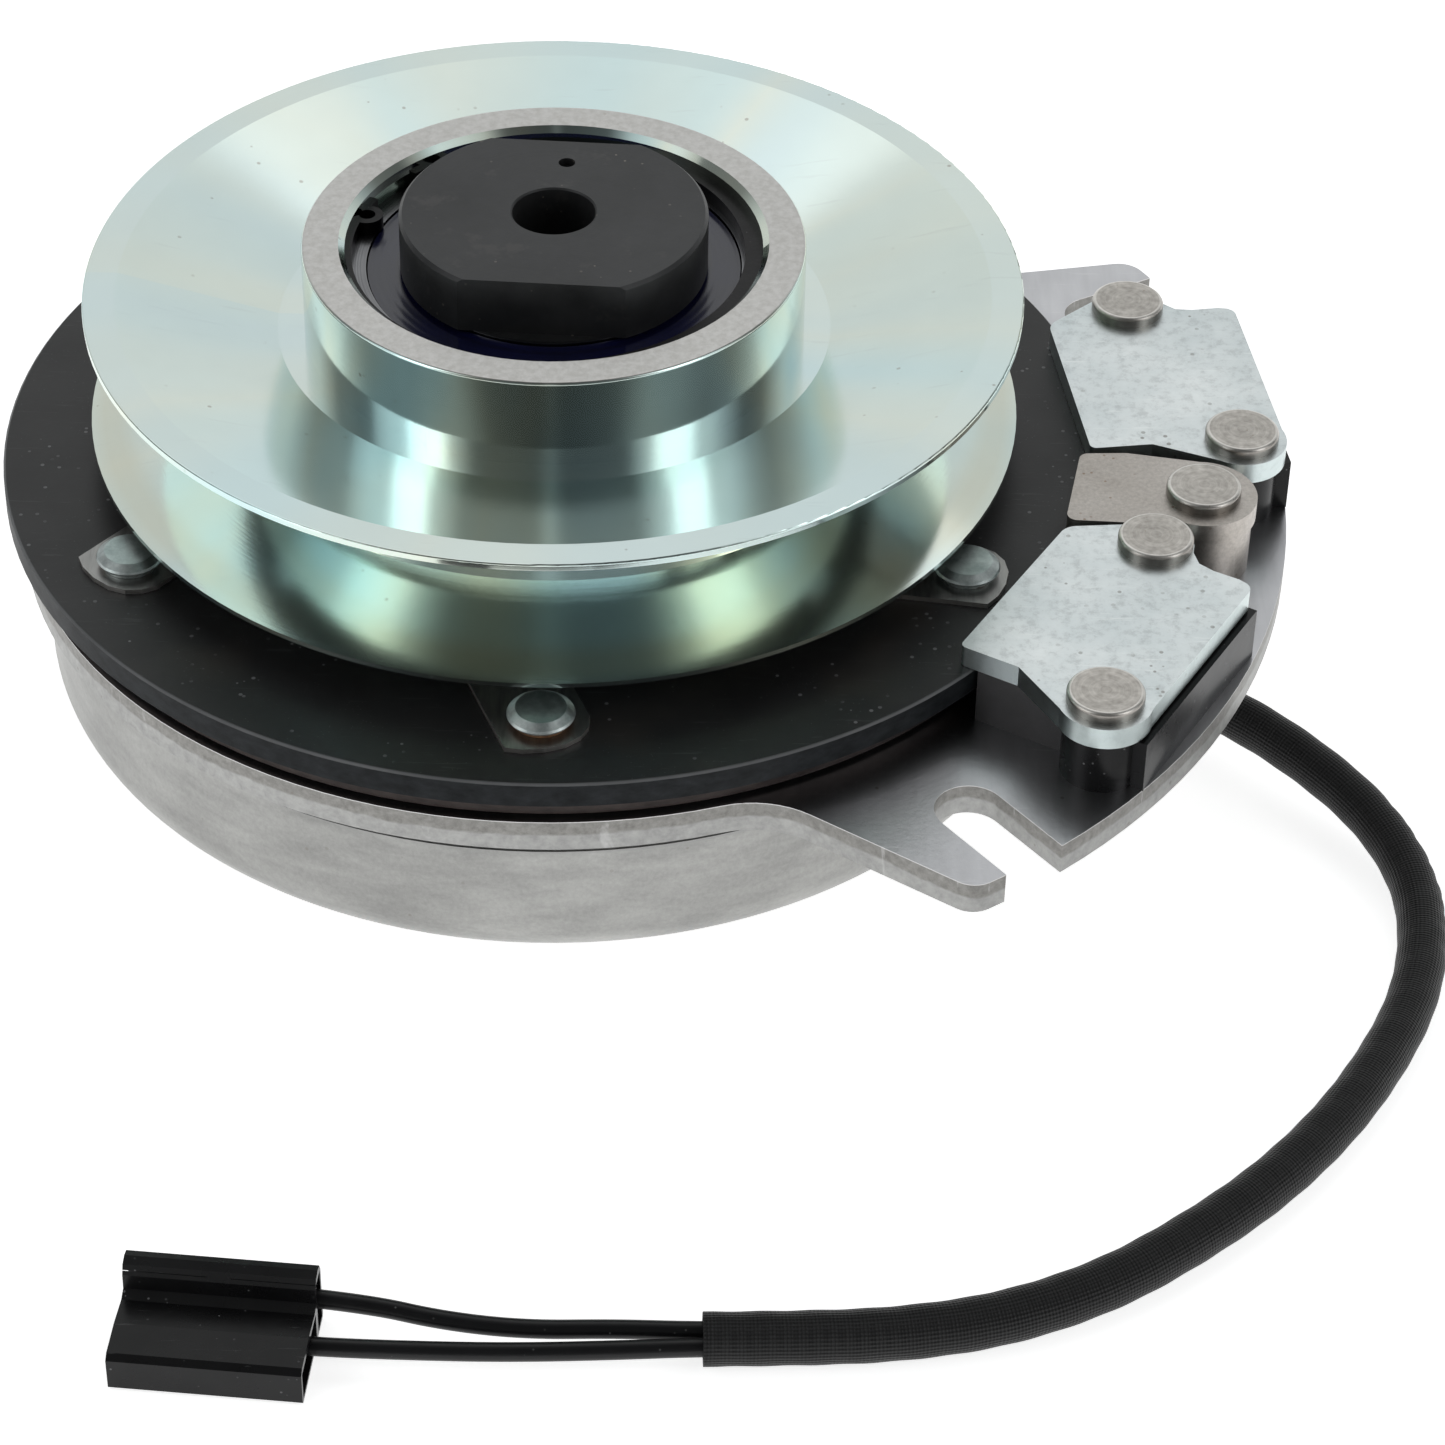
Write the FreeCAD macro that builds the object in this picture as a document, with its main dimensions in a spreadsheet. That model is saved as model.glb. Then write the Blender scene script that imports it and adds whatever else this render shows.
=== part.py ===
# Electromagnetic clutch for a belt-driven blade or pump drive, as a parametric FreeCAD document.
# Frame: +Z up along the shaft, origin on the shaft axis at the bottom face of the field shell.
# The lead leaves the field shell on the +X, -Y side.  Millimetres and degrees.
import FreeCAD, Part
import Sketcher
import math
import os
from types import SimpleNamespace

SIZES = {
    # field shell and the iron inside it
    "shell_radius": 78.7,
    "shell_wall": 5.3,
    "shell_height": 25.3,
    "shell_floor": 5.0,
    "shell_corner": 9.0,
    "shell_groove_height": 22.7,
    "shell_groove_width": 0.7,
    "shell_groove_depth": 0.25,
    "pole_radius": 36.0,
    "pole_lip_radius": 27.9,
    "pole_top": 30.3,
    # coil
    "bobbin_wall": 1.2,
    "bobbin_gap": 0.2,
    "bobbin_top": 24.0,
    "winding_radius": 69.5,
    "potting_top": 29.5,
    # mounting flange with its two forks
    "flange_top": 30.3,
    "flange_radius": 81.6,
    "flange_bore": 71.0,
    "flange_turn": -11.0,
    "lobe_radius": 112.2,
    "lobe_edge_x": 62.73,
    "lobe_edge_y": 73.79,
    "lobe_edge_angle": 22.75,
    "lobe_fillet": 14.0,
    "prong_fillet": 4.0,
    "slot_width": 10.3,
    "slot_angle": 40.3,
    "slot_end_radius": 98.4,
    # lead outlet
    "lead_angle": -14.0,
    "lead_height": 12.0,
    "grommet_radius": 5.2,
    "grommet_inner_end": 72.0,
    "grommet_outer_end": 81.6,
    # rotor
    "shaft_bore": 12.7,
    "keyway_top": 15.6,
    "keyway_width": 6.35,
    "sleeve_radius": 17.5,
    "hub_shoulder_radius": 20.5,
    "hub_flange_radius": 26.0,
    "hub_flange_bottom": 28.0,
    "rotor_bottom": 31.0,
    "rotor_top": 34.6,
    "rotor_radius": 80.5,
    "barrier_inner": 63.0,
    "barrier_outer": 66.0,
    "barrier_span": 44.0,
    "friction_inner": 52.0,
    "friction_outer": 60.0,
    "friction_bottom": 33.0,
    # field bearing, 35 x 62 x 14
    "bearing_radius": 31.0,
    "bearing_pitch": 24.25,
    "field_bearing_bottom": 5.0,
    "field_bearing_top": 19.0,
    "field_ball_radius": 3.97,
    "inner_land": 21.2,
    "outer_land": 28.0,
    "seal_outer": 27.7,
    "seal_inner": 21.5,
    "seal_thickness": 0.8,
    "seal_recess": 0.3,
    "cage_inner": 23.4,
    "cage_outer": 25.1,
    "cage_margin": 1.1,
    "race_gap": 0.08,
    "pocket_gap": 0.15,
    # pulley bearing, 35 x 62 x 24, two rows
    "pulley_bearing_bottom": 45.9,
    "pulley_bearing_top": 69.9,
    "pulley_ball_radius": 4.35,
    "row_offset": 5.4,
    # retaining rings
    "ring_thickness": 2.0,
    "ring_groove_radius": 32.5,
    "ring_hole_radius": 29.25,
    "ring_hole_offset": 1.05,
    "ring_gap_angle": 145.0,
    "ring_gap_width": 9.0,
    "ring_lug_angle": 17.0,
    "ring_lug_radius": 29.9,
    "ring_lug_size": 2.4,
    "ring_eye_radius": 1.25,
    # pulley
    "pulley_radius": 70.0,
    "pulley_bottom": 45.2,
    "lower_land_top": 45.9,
    "upper_land_bottom": 65.7,
    "pulley_top": 66.7,
    "groove_radius": 53.0,
    "groove_low": 51.1,
    "groove_high": 60.5,
    "dish_outer": 65.2,
    "dish_inner": 41.4,
    "dish_floor": 60.0,
    "collar_radius": 37.4,
    "collar_top": 74.2,
    "collar_mouth": 31.9,
    "bearing_stop_radius": 27.5,
    "bearing_stop_bottom": 43.9,
    "boss_inner": 37.0,
    "boss_outer": 48.0,
    "boss_top": 47.0,
    # hub cap
    "cap_radius": 22.85,
    "cap_top": 79.1,
    "cap_flats": 38.6,
    "cap_turn": -3.0,
    "cap_hole": 6.15,
    "cap_spigot_depth": 2.0,
    "cap_spigot_radius": 14.6,
    "cap_relief": 0.4,
    "cap_chamfer": 0.5,
    "dimple_radius": 1.25,
    "dimple_depth": 1.2,
    "dimple_x": 0.7,
    "dimple_y": 13.4,
    # armature and leaf springs
    "armature_bottom": 35.1,
    "armature_top": 39.1,
    "armature_radius": 83.8,
    "armature_bore": 50.0,
    "armature_chamfer": 0.35,
    "arm_count": 6,
    "arm_turn": -89.3,
    "arm_lean": 21.0,
    "arm_rivet_radius": 70.8,
    "spring_gap": 0.05,
    "spring_thickness": 0.8,
    "spring_bore": 37.5,
    "spring_outer": 47.6,
    "strap_half": 6.8,
    "strap_reach": 32.0,
    "rivet_shank": 2.9,
    "rivet_head": 4.9,
    "rivet_neck": 4.0,
    "rivet_head_height": 2.5,
    "rivet_edge_height": 1.35,
    "rivet_bevel": 1.25,
    "spring_rivet_circle": 42.5,
    "spring_rivet_shank": 2.0,
    "spring_rivet_head": 3.6,
    "spring_rivet_head_height": 1.5,
    # brake plates, magnets and carriers
    "plate_bottom": 39.2,
    "plate_top": 42.6,
    "front_plate_turn": -29.7,
    "rear_plate_turn": 8.5,
    "plate_inner": 79.5,
    "plate_outer": 109.5,
    "plate_low": 18.2,
    "plate_high": 15.2,
    "pin_a_x": 92.7,
    "pin_a_y": 18.3,
    "pin_a_lobe": 5.7,
    "pin_b_x": 102.8,
    "pin_b_y": -18.3,
    "pin_b_lobe": 6.9,
    "pin_head": 5.6,
    "pin_head_height": 1.75,
    "pin_head_round": 0.6,
    "pin_shank": 3.0,
    "pin_foot": 4.6,
    "pin_foot_height": 2.0,
    "boss_post_radius": 5.8,
    "carrier_wall_inner": 108.3,
    "carrier_wall_outer": 110.5,
    "carrier_wall_low": 20.0,
    "carrier_wall_high": 16.3,
    "carrier_wall_top": 38.7,
    "carrier_web_inner": 96.8,
    "carrier_web_half": 12.0,
    "magnet_inner": 81.0,
    "magnet_outer": 96.6,
    "magnet_low": 18.2,
    "magnet_high": 11.4,
    "magnet_relief": 84.6,
    # stop plate between the brake plates
    "stop_turn": -10.07,
    "stop_inner": 79.75,
    "stop_pin_x": 99.07,
    "stop_tip": 8.1,
    "stop_post_radius": 7.6,
    # lead, wires and connector
    "lead_radius": 3.6,
    "lead_mouth_radius": 2.95,
    "lead_mouth_depth": 11.0,
    "wire_radius": 1.3,
    "plug_length": 25.7,
    "plug_x": -26.4,
    "plug_y": -163.6,
    "plug_turn": -4.7,
    "plug_depth": 16.0,
    "plug_front_height": 6.0,
    "plug_ridge_depth": 12.1,
    "plug_ridge_height": 10.4,
    "plug_wall": 0.6,
    "plug_web": 3.0,
    "terminal_width": 2.8,
    "terminal_thickness": 0.8,
    "terminal_length": 18.0,
}

# Route of the lead from the shell to the bench, then round the front of the clutch.
LEAD_ROUTE = [
    (78.21, -19.5, 12.0),
    (92.0, -24.0, 12.4),
    (104.0, -31.0, 11.6),
    (115.0, -39.0, 9.0),
    (124.0, -48.0, 6.0),
    (129.0, -60.0, 4.0),
    (129.0, -73.0, 3.65),
    (126.0, -86.0, 3.65),
    (120.0, -99.0, 3.65),
    (112.0, -112.0, 3.65),
    (102.0, -124.0, 3.65),
    (91.0, -134.0, 3.65),
    (79.0, -143.0, 3.65),
    (65.0, -149.5, 3.65),
    (51.0, -152.5, 3.65),
    (38.0, -153.5, 3.65),
    (25.4, -154.0, 3.65),
]
FAR_WIRE_ROUTE = [
    (36.2, -152.15, 3.65),
    (25.3, -152.6, 3.65),
    (14.0, -152.3, 3.5),
    (2.0, -153.0, 3.7),
    (-9.0, -152.3, 4.4),
    (-19.0, -150.35, 5.3),
    (-30.3, -149.3, 5.5),
]
NEAR_WIRE_ROUTE = [
    (36.2, -155.0, 3.65),
    (25.3, -155.4, 3.65),
    (13.0, -156.3, 3.6),
    (0.0, -157.0, 3.6),
    (-13.0, -157.0, 3.6),
    (-25.6, -156.5, 3.4),
    (-32.6, -155.9, 3.4),
]
# Outline of the connector across its length: depth from the front face, height.
PLUG_PROFILE = [
    (0.35, 0.05),
    (15.7, 0.05),
    (16.0, 0.4),
    (16.0, 8.9),
    (15.4, 10.1),
    (14.2, 10.4),
    (12.9, 10.0),
    (12.25, 8.6),
    (12.1, 6.3),
    (10.6, 5.7),
    (6.0, 6.2),
    (0.9, 6.0),
    (0.0, 5.3),
    (0.0, 0.4),
]


class Size:
    """A number that also carries the sheet expression it came from."""

    def __init__(self, number, text=None):
        self.number = float(number)
        self.text = text if text is not None else "(%.6f)" % float(number)

    def __add__(self, other):
        other = as_size(other)
        return Size(self.number + other.number, "(%s + %s)" % (self.text, other.text))

    def __sub__(self, other):
        other = as_size(other)
        return Size(self.number - other.number, "(%s - %s)" % (self.text, other.text))

    def __mul__(self, other):
        other = as_size(other)
        return Size(self.number * other.number, "(%s * %s)" % (self.text, other.text))

    def __truediv__(self, other):
        other = as_size(other)
        return Size(self.number / other.number, "(%s / %s)" % (self.text, other.text))

    def __neg__(self):
        return Size(-self.number, "(0 - %s)" % self.text)

    __radd__ = __add__

    def __rsub__(self, other):
        return as_size(other) - self

    __rmul__ = __mul__


def as_size(value):
    return value if isinstance(value, Size) else Size(value)


def cosine(angle):
    angle = as_size(angle)
    return Size(math.cos(math.radians(angle.number)), "cos(%s)" % angle.text)


def sine(angle):
    angle = as_size(angle)
    return Size(math.sin(math.radians(angle.number)), "sin(%s)" % angle.text)


doc = FreeCAD.newDocument("ElectromagneticClutch")
sheet = doc.addObject("Spreadsheet::Sheet", "Sizes")
for row, (alias, value) in enumerate(SIZES.items(), 1):
    sheet.set("A%d" % row, alias)
    sheet.set("B%d" % row, str(value))
    sheet.setAlias("B%d" % row, alias)
doc.recompute()
s = SimpleNamespace(**{alias: Size(value, "Sizes." + alias) for alias, value in SIZES.items()})
NODES = []


def keep(thing, label):
    """Name a finished sub-part and put it on the list of nodes."""
    thing.Label = label
    NODES.append(thing)
    return thing


def bind(thing, prop, size):
    thing.setExpression(prop, as_size(size).text)


def place(thing, x=0, y=0, z=0, turn=0):
    """Stand a sub-part at x, y, z, turned about the vertical."""
    thing.Placement = FreeCAD.Placement(FreeCAD.Vector(0, 0, 0), FreeCAD.Vector(0, 0, 1), 0)
    bind(thing, "Placement.Base.x", x)
    bind(thing, "Placement.Base.y", y)
    bind(thing, "Placement.Base.z", z)
    if as_size(turn).number:
        bind(thing, "Placement.Rotation.Angle", turn)


def new_sketch(body, role, name, height=0):
    """A sketch on one of the body's own origin planes, raised by height along its normal."""
    sketch = body.newObject("Sketcher::SketchObject", name)
    plane = [item for item in body.Origin.OriginFeatures if item.Role == role][0]
    sketch.AttachmentSupport = [(plane, "")]
    sketch.MapMode = "FlatFace"
    bind(sketch, "AttachmentOffset.Base.z", height)
    return sketch


def fix_point(sketch, curve, point, x, y):
    for kind, size in (("DistanceX", as_size(x)), ("DistanceY", as_size(y))):
        index = sketch.addConstraint(Sketcher.Constraint(kind, -1, 1, curve, point, size.number))
        bind(sketch, "Constraints[%d]" % index, size)


def draw_polygon(sketch, corners):
    first = sketch.GeometryCount
    count = len(corners)
    flat = [FreeCAD.Vector(as_size(x).number, as_size(y).number, 0) for x, y in corners]
    for index in range(count):
        sketch.addGeometry(Part.LineSegment(flat[index], flat[(index + 1) % count]), False)
    for index in range(count):
        after = first + (index + 1) % count
        sketch.addConstraint(Sketcher.Constraint("Coincident", first + index, 2, after, 1))
    for index, (x, y) in enumerate(corners):
        fix_point(sketch, first + index, 1, x, y)


def draw_circle(sketch, x, y, radius):
    centre = FreeCAD.Vector(as_size(x).number, as_size(y).number, 0)
    radius = as_size(radius)
    curve = sketch.addGeometry(Part.Circle(centre, FreeCAD.Vector(0, 0, 1), radius.number), False)
    index = sketch.addConstraint(Sketcher.Constraint("Radius", curve, radius.number))
    bind(sketch, "Constraints[%d]" % index, radius)
    fix_point(sketch, curve, 3, x, y)


def new_body(name):
    return doc.addObject("PartDesign::Body", name)


def revolve(body, name, corners):
    """A solid of revolution about Z from (radius, height) corners."""
    sketch = new_sketch(body, "XZ_Plane", name + "_profile")
    draw_polygon(sketch, corners)
    solid = body.newObject("PartDesign::Revolution", name)
    solid.Profile = sketch
    solid.ReferenceAxis = (sketch, ["V_Axis"])
    solid.Angle = 360.0
    return solid


def pad(body, name, height, bottom, corners=None, circles=()):
    sketch = new_sketch(body, "XY_Plane", name + "_outline", bottom)
    if corners:
        draw_polygon(sketch, corners)
    for circle in circles:
        draw_circle(sketch, *circle)
    solid = body.newObject("PartDesign::Pad", name)
    solid.Profile = sketch
    bind(solid, "Length", height)
    return solid


def pocket(body, name, depth, top, corners=None, circles=()):
    """Cut downward from the height called top."""
    sketch = new_sketch(body, "XY_Plane", name + "_outline", top)
    if corners:
        draw_polygon(sketch, corners)
    for circle in circles:
        draw_circle(sketch, *circle)
    cut = body.newObject("PartDesign::Pocket", name)
    cut.Profile = sketch
    bind(cut, "Length", depth)
    check_cut(body, cut)
    return cut


def check_cut(body, cut):
    doc.recompute()
    before = cut.BaseFeature.Shape.Volume
    if cut.Shape.Volume >= before - 1e-6:
        raise RuntimeError("%s cuts nothing from %s" % (cut.Name, body.Name))


def around_z(body, name, features, count):
    """Repeat features about the body's Z axis."""
    axis = [item for item in body.Origin.OriginFeatures if item.Role == "Z_Axis"][0]
    pattern = body.newObject("PartDesign::PolarPattern", name)
    pattern.Originals = features
    pattern.Axis = (axis, [""])
    pattern.Angle = 360.0
    bind(pattern, "Occurrences", count)
    body.Tip = pattern
    doc.recompute()
    return pattern


def edges_where(body, test):
    doc.recompute()
    names = []
    for index, edge in enumerate(body.Tip.Shape.Edges, 1):
        if test(edge):
            names.append("Edge%d" % index)
    if not names:
        raise RuntimeError("no edge to dress on " + body.Name)
    return names


def round_edges(body, name, radius, test):
    names = edges_where(body, test)
    dress = body.newObject("PartDesign::Fillet", name)
    dress.Base = (body.Tip, names) if body.Tip is not dress else (dress.BaseFeature, names)
    bind(dress, "Radius", radius)
    body.Tip = dress
    return dress


def chamfer_edges(body, name, size, test):
    names = edges_where(body, test)
    dress = body.newObject("PartDesign::Chamfer", name)
    dress.Base = (body.Tip, names) if body.Tip is not dress else (dress.BaseFeature, names)
    bind(dress, "Size", size)
    body.Tip = dress
    return dress


def ring_edge(radius, height):
    """Test for a circular edge about Z of this radius at this height."""
    radius = as_size(radius).number
    height = as_size(height).number

    def test(edge):
        curve = edge.Curve
        if not isinstance(curve, Part.Circle):
            return False
        centre = curve.Center
        on_axis = math.hypot(centre.x, centre.y) < 1e-3
        return on_axis and abs(curve.Radius - radius) < 1e-3 and abs(centre.z - height) < 1e-3

    return test


def upright_edge(points, reach=0.6):
    """Test for a vertical edge that stands on one of the points."""

    def test(edge):
        if len(edge.Vertexes) != 2:
            return False
        low, high = edge.Vertexes[0].Point, edge.Vertexes[1].Point
        if math.hypot(low.x - high.x, low.y - high.y) > 1e-3:
            return False
        return any(math.hypot(low.x - x, low.y - y) < reach for x, y in points)

    return test


def cylinder(name, radius, height, x=0, y=0, z=0):
    thing = doc.addObject("Part::Cylinder", name)
    bind(thing, "Radius", radius)
    bind(thing, "Height", height)
    place(thing, x, y, z)
    return thing


def box(name, x_low, x_high, y_low, y_high, z_low, z_high):
    thing = doc.addObject("Part::Box", name)
    bind(thing, "Length", as_size(x_high) - x_low)
    bind(thing, "Width", as_size(y_high) - y_low)
    bind(thing, "Height", as_size(z_high) - z_low)
    place(thing, x_low, y_low, z_low)
    return thing


def cut(name, base, tool):
    thing = doc.addObject("Part::Cut", name)
    thing.Base = base
    thing.Tool = tool
    doc.recompute()
    if thing.Shape.Volume >= base.Shape.Volume - 1e-6:
        raise RuntimeError("%s cuts nothing" % name)
    return thing


def fuse(name, things):
    thing = doc.addObject("Part::MultiFuse", name)
    thing.Shapes = things
    thing.Refine = True
    return thing


def polar(radius, angle):
    return radius * cosine(angle), radius * sine(angle)


def rotated(x, y, angle):
    """A point turned about the axis."""
    x, y = as_size(x), as_size(y)
    return x * cosine(angle) - y * sine(angle), x * sine(angle) + y * cosine(angle)


def field_shell():
    body = new_body("FieldShell")
    inner = s.shell_radius - s.shell_wall
    groove_low = s.shell_groove_height - s.shell_groove_width / 2
    groove_high = s.shell_groove_height + s.shell_groove_width / 2
    groove_floor = s.shell_radius - s.shell_groove_depth
    revolve(body, "ShellCup", [
        (s.pole_radius, 0),
        (s.shell_radius, 0),
        (s.shell_radius, groove_low),
        (groove_floor, groove_low),
        (groove_floor, groove_high),
        (s.shell_radius, groove_high),
        (s.shell_radius, s.shell_height),
        (inner, s.shell_height),
        (inner, s.shell_floor),
        (s.pole_radius, s.shell_floor),
    ])
    round_edges(body, "ShellCorner", s.shell_corner, ring_edge(s.shell_radius, 0))
    hole = cylinder("LeadHole", s.grommet_radius, s.shell_wall * 4)
    lay_outward(hole, inner - s.shell_wall)
    keep(cut("FieldShellDrilled", body, hole), "field_shell")


def lay_outward(thing, radius):
    """Lay a cylinder so that it runs outward from the axis at the lead's angle and height."""
    x, y = polar(as_size(radius), s.lead_angle)
    turn = FreeCAD.Rotation(FreeCAD.Vector(0, 0, 1), SIZES["lead_angle"])
    tip_over = FreeCAD.Rotation(FreeCAD.Vector(0, 1, 0), 90)
    thing.Placement = FreeCAD.Placement(FreeCAD.Vector(0, 0, 0), turn * tip_over)
    bind(thing, "Placement.Base.x", x)
    bind(thing, "Placement.Base.y", y)
    bind(thing, "Placement.Base.z", s.lead_height)


def lead_grommet():
    length = s.grommet_outer_end - s.grommet_inner_end
    outer = cylinder("GrommetOuter", s.grommet_radius, length)
    lay_outward(outer, s.grommet_inner_end)
    bore = cylinder("GrommetBore", s.lead_radius, length)
    lay_outward(bore, s.grommet_outer_end - 1.0)
    keep(cut("Grommet", outer, bore), "lead_grommet")


def field_inner_pole():
    body = new_body("InnerPole")
    groove_top = s.field_bearing_top + s.ring_thickness
    revolve(body, "PoleTube", [
        (s.pole_lip_radius, 0),
        (s.pole_radius, 0),
        (s.pole_radius, s.pole_top),
        (s.bearing_radius, s.pole_top),
        (s.bearing_radius, groove_top),
        (s.ring_groove_radius, groove_top),
        (s.ring_groove_radius, s.field_bearing_top),
        (s.bearing_radius, s.field_bearing_top),
        (s.bearing_radius, s.field_bearing_bottom),
        (s.pole_lip_radius, s.field_bearing_bottom),
    ])
    keep(body, "field_inner_pole")


def coil():
    inner = s.pole_radius + s.bobbin_gap
    outer = s.shell_radius - s.shell_wall - s.bobbin_gap
    low = s.shell_floor + s.bobbin_gap
    core = inner + s.bobbin_wall
    bobbin = new_body("CoilBobbin")
    revolve(bobbin, "BobbinSpool", [
        (inner, low),
        (outer, low),
        (outer, low + s.bobbin_wall),
        (core, low + s.bobbin_wall),
        (core, s.bobbin_top - s.bobbin_wall),
        (s.winding_radius, s.bobbin_top - s.bobbin_wall),
        (s.winding_radius, s.bobbin_top),
        (inner, s.bobbin_top),
    ])
    keep(bobbin, "coil_bobbin")
    winding = new_body("CoilWinding")
    revolve(winding, "WindingRing", [
        (core, low + s.bobbin_wall),
        (s.winding_radius, low + s.bobbin_wall),
        (s.winding_radius, s.bobbin_top - s.bobbin_wall),
        (core, s.bobbin_top - s.bobbin_wall),
    ])
    keep(winding, "coil_winding")
    potting = new_body("CoilPotting")
    revolve(potting, "PottingRing", [
        (s.pole_radius, s.bobbin_top),
        (s.flange_bore, s.bobbin_top),
        (s.flange_bore, s.potting_top),
        (s.pole_radius, s.potting_top),
    ])
    keep(potting, "coil_potting")


def line_point(distance):
    """A point of the prong's straight outer edge, distance along it, on the +Y side."""
    x = s.lobe_edge_x + distance * cosine(s.lobe_edge_angle)
    y = s.lobe_edge_y + distance * sine(s.lobe_edge_angle)
    return x, y


def line_reach(radius):
    """How far along the prong's straight edge it crosses a circle about the axis."""
    angle = math.radians(SIZES["lobe_edge_angle"])
    x, y = SIZES["lobe_edge_x"], SIZES["lobe_edge_y"]
    along = x * math.cos(angle) + y * math.sin(angle)
    return -along + math.sqrt(along * along - x * x - y * y + radius * radius)


def mounting_flange():
    body = new_body("MountingFlange")
    thickness = s.flange_top - s.shell_height
    past_lobe = s.lobe_radius * 1.2
    pad(body, "FlangeDisc", thickness, s.shell_height, circles=[(0, 0, s.flange_radius)])
    near = line_point(-25)
    far = line_point(30)
    pad(body, "FlangeLobe", thickness, s.shell_height, corners=[
        (near[0], -near[1]),
        (far[0], -far[1]),
        (past_lobe, -s.shell_radius),
        (past_lobe, s.shell_radius),
        far,
        near,
    ])
    pocket(body, "LobeTrim", thickness, s.flange_top,
           circles=[(0, 0, s.lobe_radius), (0, 0, s.lobe_radius * 2)])
    pocket(body, "FlangeBore", thickness, s.flange_top, circles=[(0, 0, s.flange_bore)])
    slot_ends = []
    for side in (-1, 1):
        angle = s.slot_angle * side
        middle = polar(s.slot_end_radius, angle)
        across = (-(sine(angle) * s.slot_width / 2), cosine(angle) * s.slot_width / 2)
        mouth = polar(past_lobe, angle)
        slot_ends.append((middle[0], middle[1], s.slot_width / 2))
        pocket(body, "SlotSides%d" % (side + 1), thickness, s.flange_top, corners=[
            (middle[0] - across[0], middle[1] - across[1]),
            (mouth[0] - across[0], mouth[1] - across[1]),
            (mouth[0] + across[0], mouth[1] + across[1]),
            (middle[0] + across[0], middle[1] + across[1]),
        ])
    pocket(body, "SlotEnds", thickness, s.flange_top, circles=slot_ends)
    pins = [rotated(s.pin_a_x, s.pin_a_y, turn - s.flange_turn)
            for turn in (s.front_plate_turn, s.rear_plate_turn)]
    pins += [rotated(s.pin_b_x, s.pin_b_y, turn - s.flange_turn)
             for turn in (s.front_plate_turn, s.rear_plate_turn)]
    pins.append(rotated(s.stop_pin_x, 0, s.stop_turn - s.flange_turn))
    pocket(body, "PinHoles", thickness, s.flange_top,
           circles=[(x, y, s.pin_shank) for x, y in pins])
    roots = edge_crossings(SIZES["flange_radius"])
    tips = edge_crossings(SIZES["lobe_radius"])
    round_edges(body, "LobeRoots", s.lobe_fillet, upright_edge(roots))
    round_edges(body, "ProngTips", s.prong_fillet, upright_edge(tips))
    place(body, turn=s.flange_turn)
    keep(body, "mounting_flange")


def edge_crossings(radius):
    """Where the two prong edges cross a circle about the axis."""
    reach = line_reach(radius)
    angle = math.radians(SIZES["lobe_edge_angle"])
    x = SIZES["lobe_edge_x"] + reach * math.cos(angle)
    y = SIZES["lobe_edge_y"] + reach * math.sin(angle)
    return [(x, y), (x, -y)]


def bearing_ring(name, label, inner, outer, bottom, top, ball_radius, rows):
    """A bearing ring with a race for each row of balls."""
    height = top - bottom
    ring = cylinder(name + "Blank", outer, height, z=bottom)
    bore = cylinder(name + "Bore", inner, height, z=bottom)
    thing = cut(name + "Tube", ring, bore)
    for index, row in enumerate(rows):
        race = doc.addObject("Part::Torus", "%sRace%d" % (name, index))
        bind(race, "Radius1", s.bearing_pitch)
        bind(race, "Radius2", ball_radius + s.race_gap)
        place(race, z=row)
        thing = cut("%sGround%d" % (name, index), thing, race)
    keep(thing, label)


def ball_cage(name, label, bottom, top, ball_radius, rows, count):
    """A cage tube with a round pocket for every ball."""
    body = new_body(name)
    pad(body, name + "Tube", top - bottom, bottom,
        circles=[(0, 0, s.cage_outer), (0, 0, s.cage_inner)])
    sketch = new_sketch(body, "XZ_Plane", name + "_pockets")
    for row in rows:
        draw_circle(sketch, 0, row, ball_radius + s.pocket_gap)
    holes = body.newObject("PartDesign::Pocket", name + "Pockets")
    holes.Profile = sketch
    bind(holes, "Length", s.bearing_pitch * 1.5)
    check_cut(body, holes)
    around_z(body, name + "Ring", [holes], count)
    keep(body, label)


def ball_set(name, label, ball_radius, rows, count):
    balls = []
    for row_index, row in enumerate(rows):
        for index in range(count):
            ball = doc.addObject("Part::Sphere", "%s%d_%d" % (name, row_index, index))
            bind(ball, "Radius", ball_radius)
            x, y = polar(s.bearing_pitch, 90 + 360.0 * index / count)
            place(ball, x, y, row)
            balls.append(ball)
    thing = doc.addObject("Part::Compound", name)
    thing.Links = balls
    keep(thing, label)


def seal(name, label, bottom, top):
    outer = cylinder(name + "Blank", s.seal_outer, top - bottom, z=bottom)
    bore = cylinder(name + "Bore", s.seal_inner, top - bottom, z=bottom)
    keep(cut(name, outer, bore), label)


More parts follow.
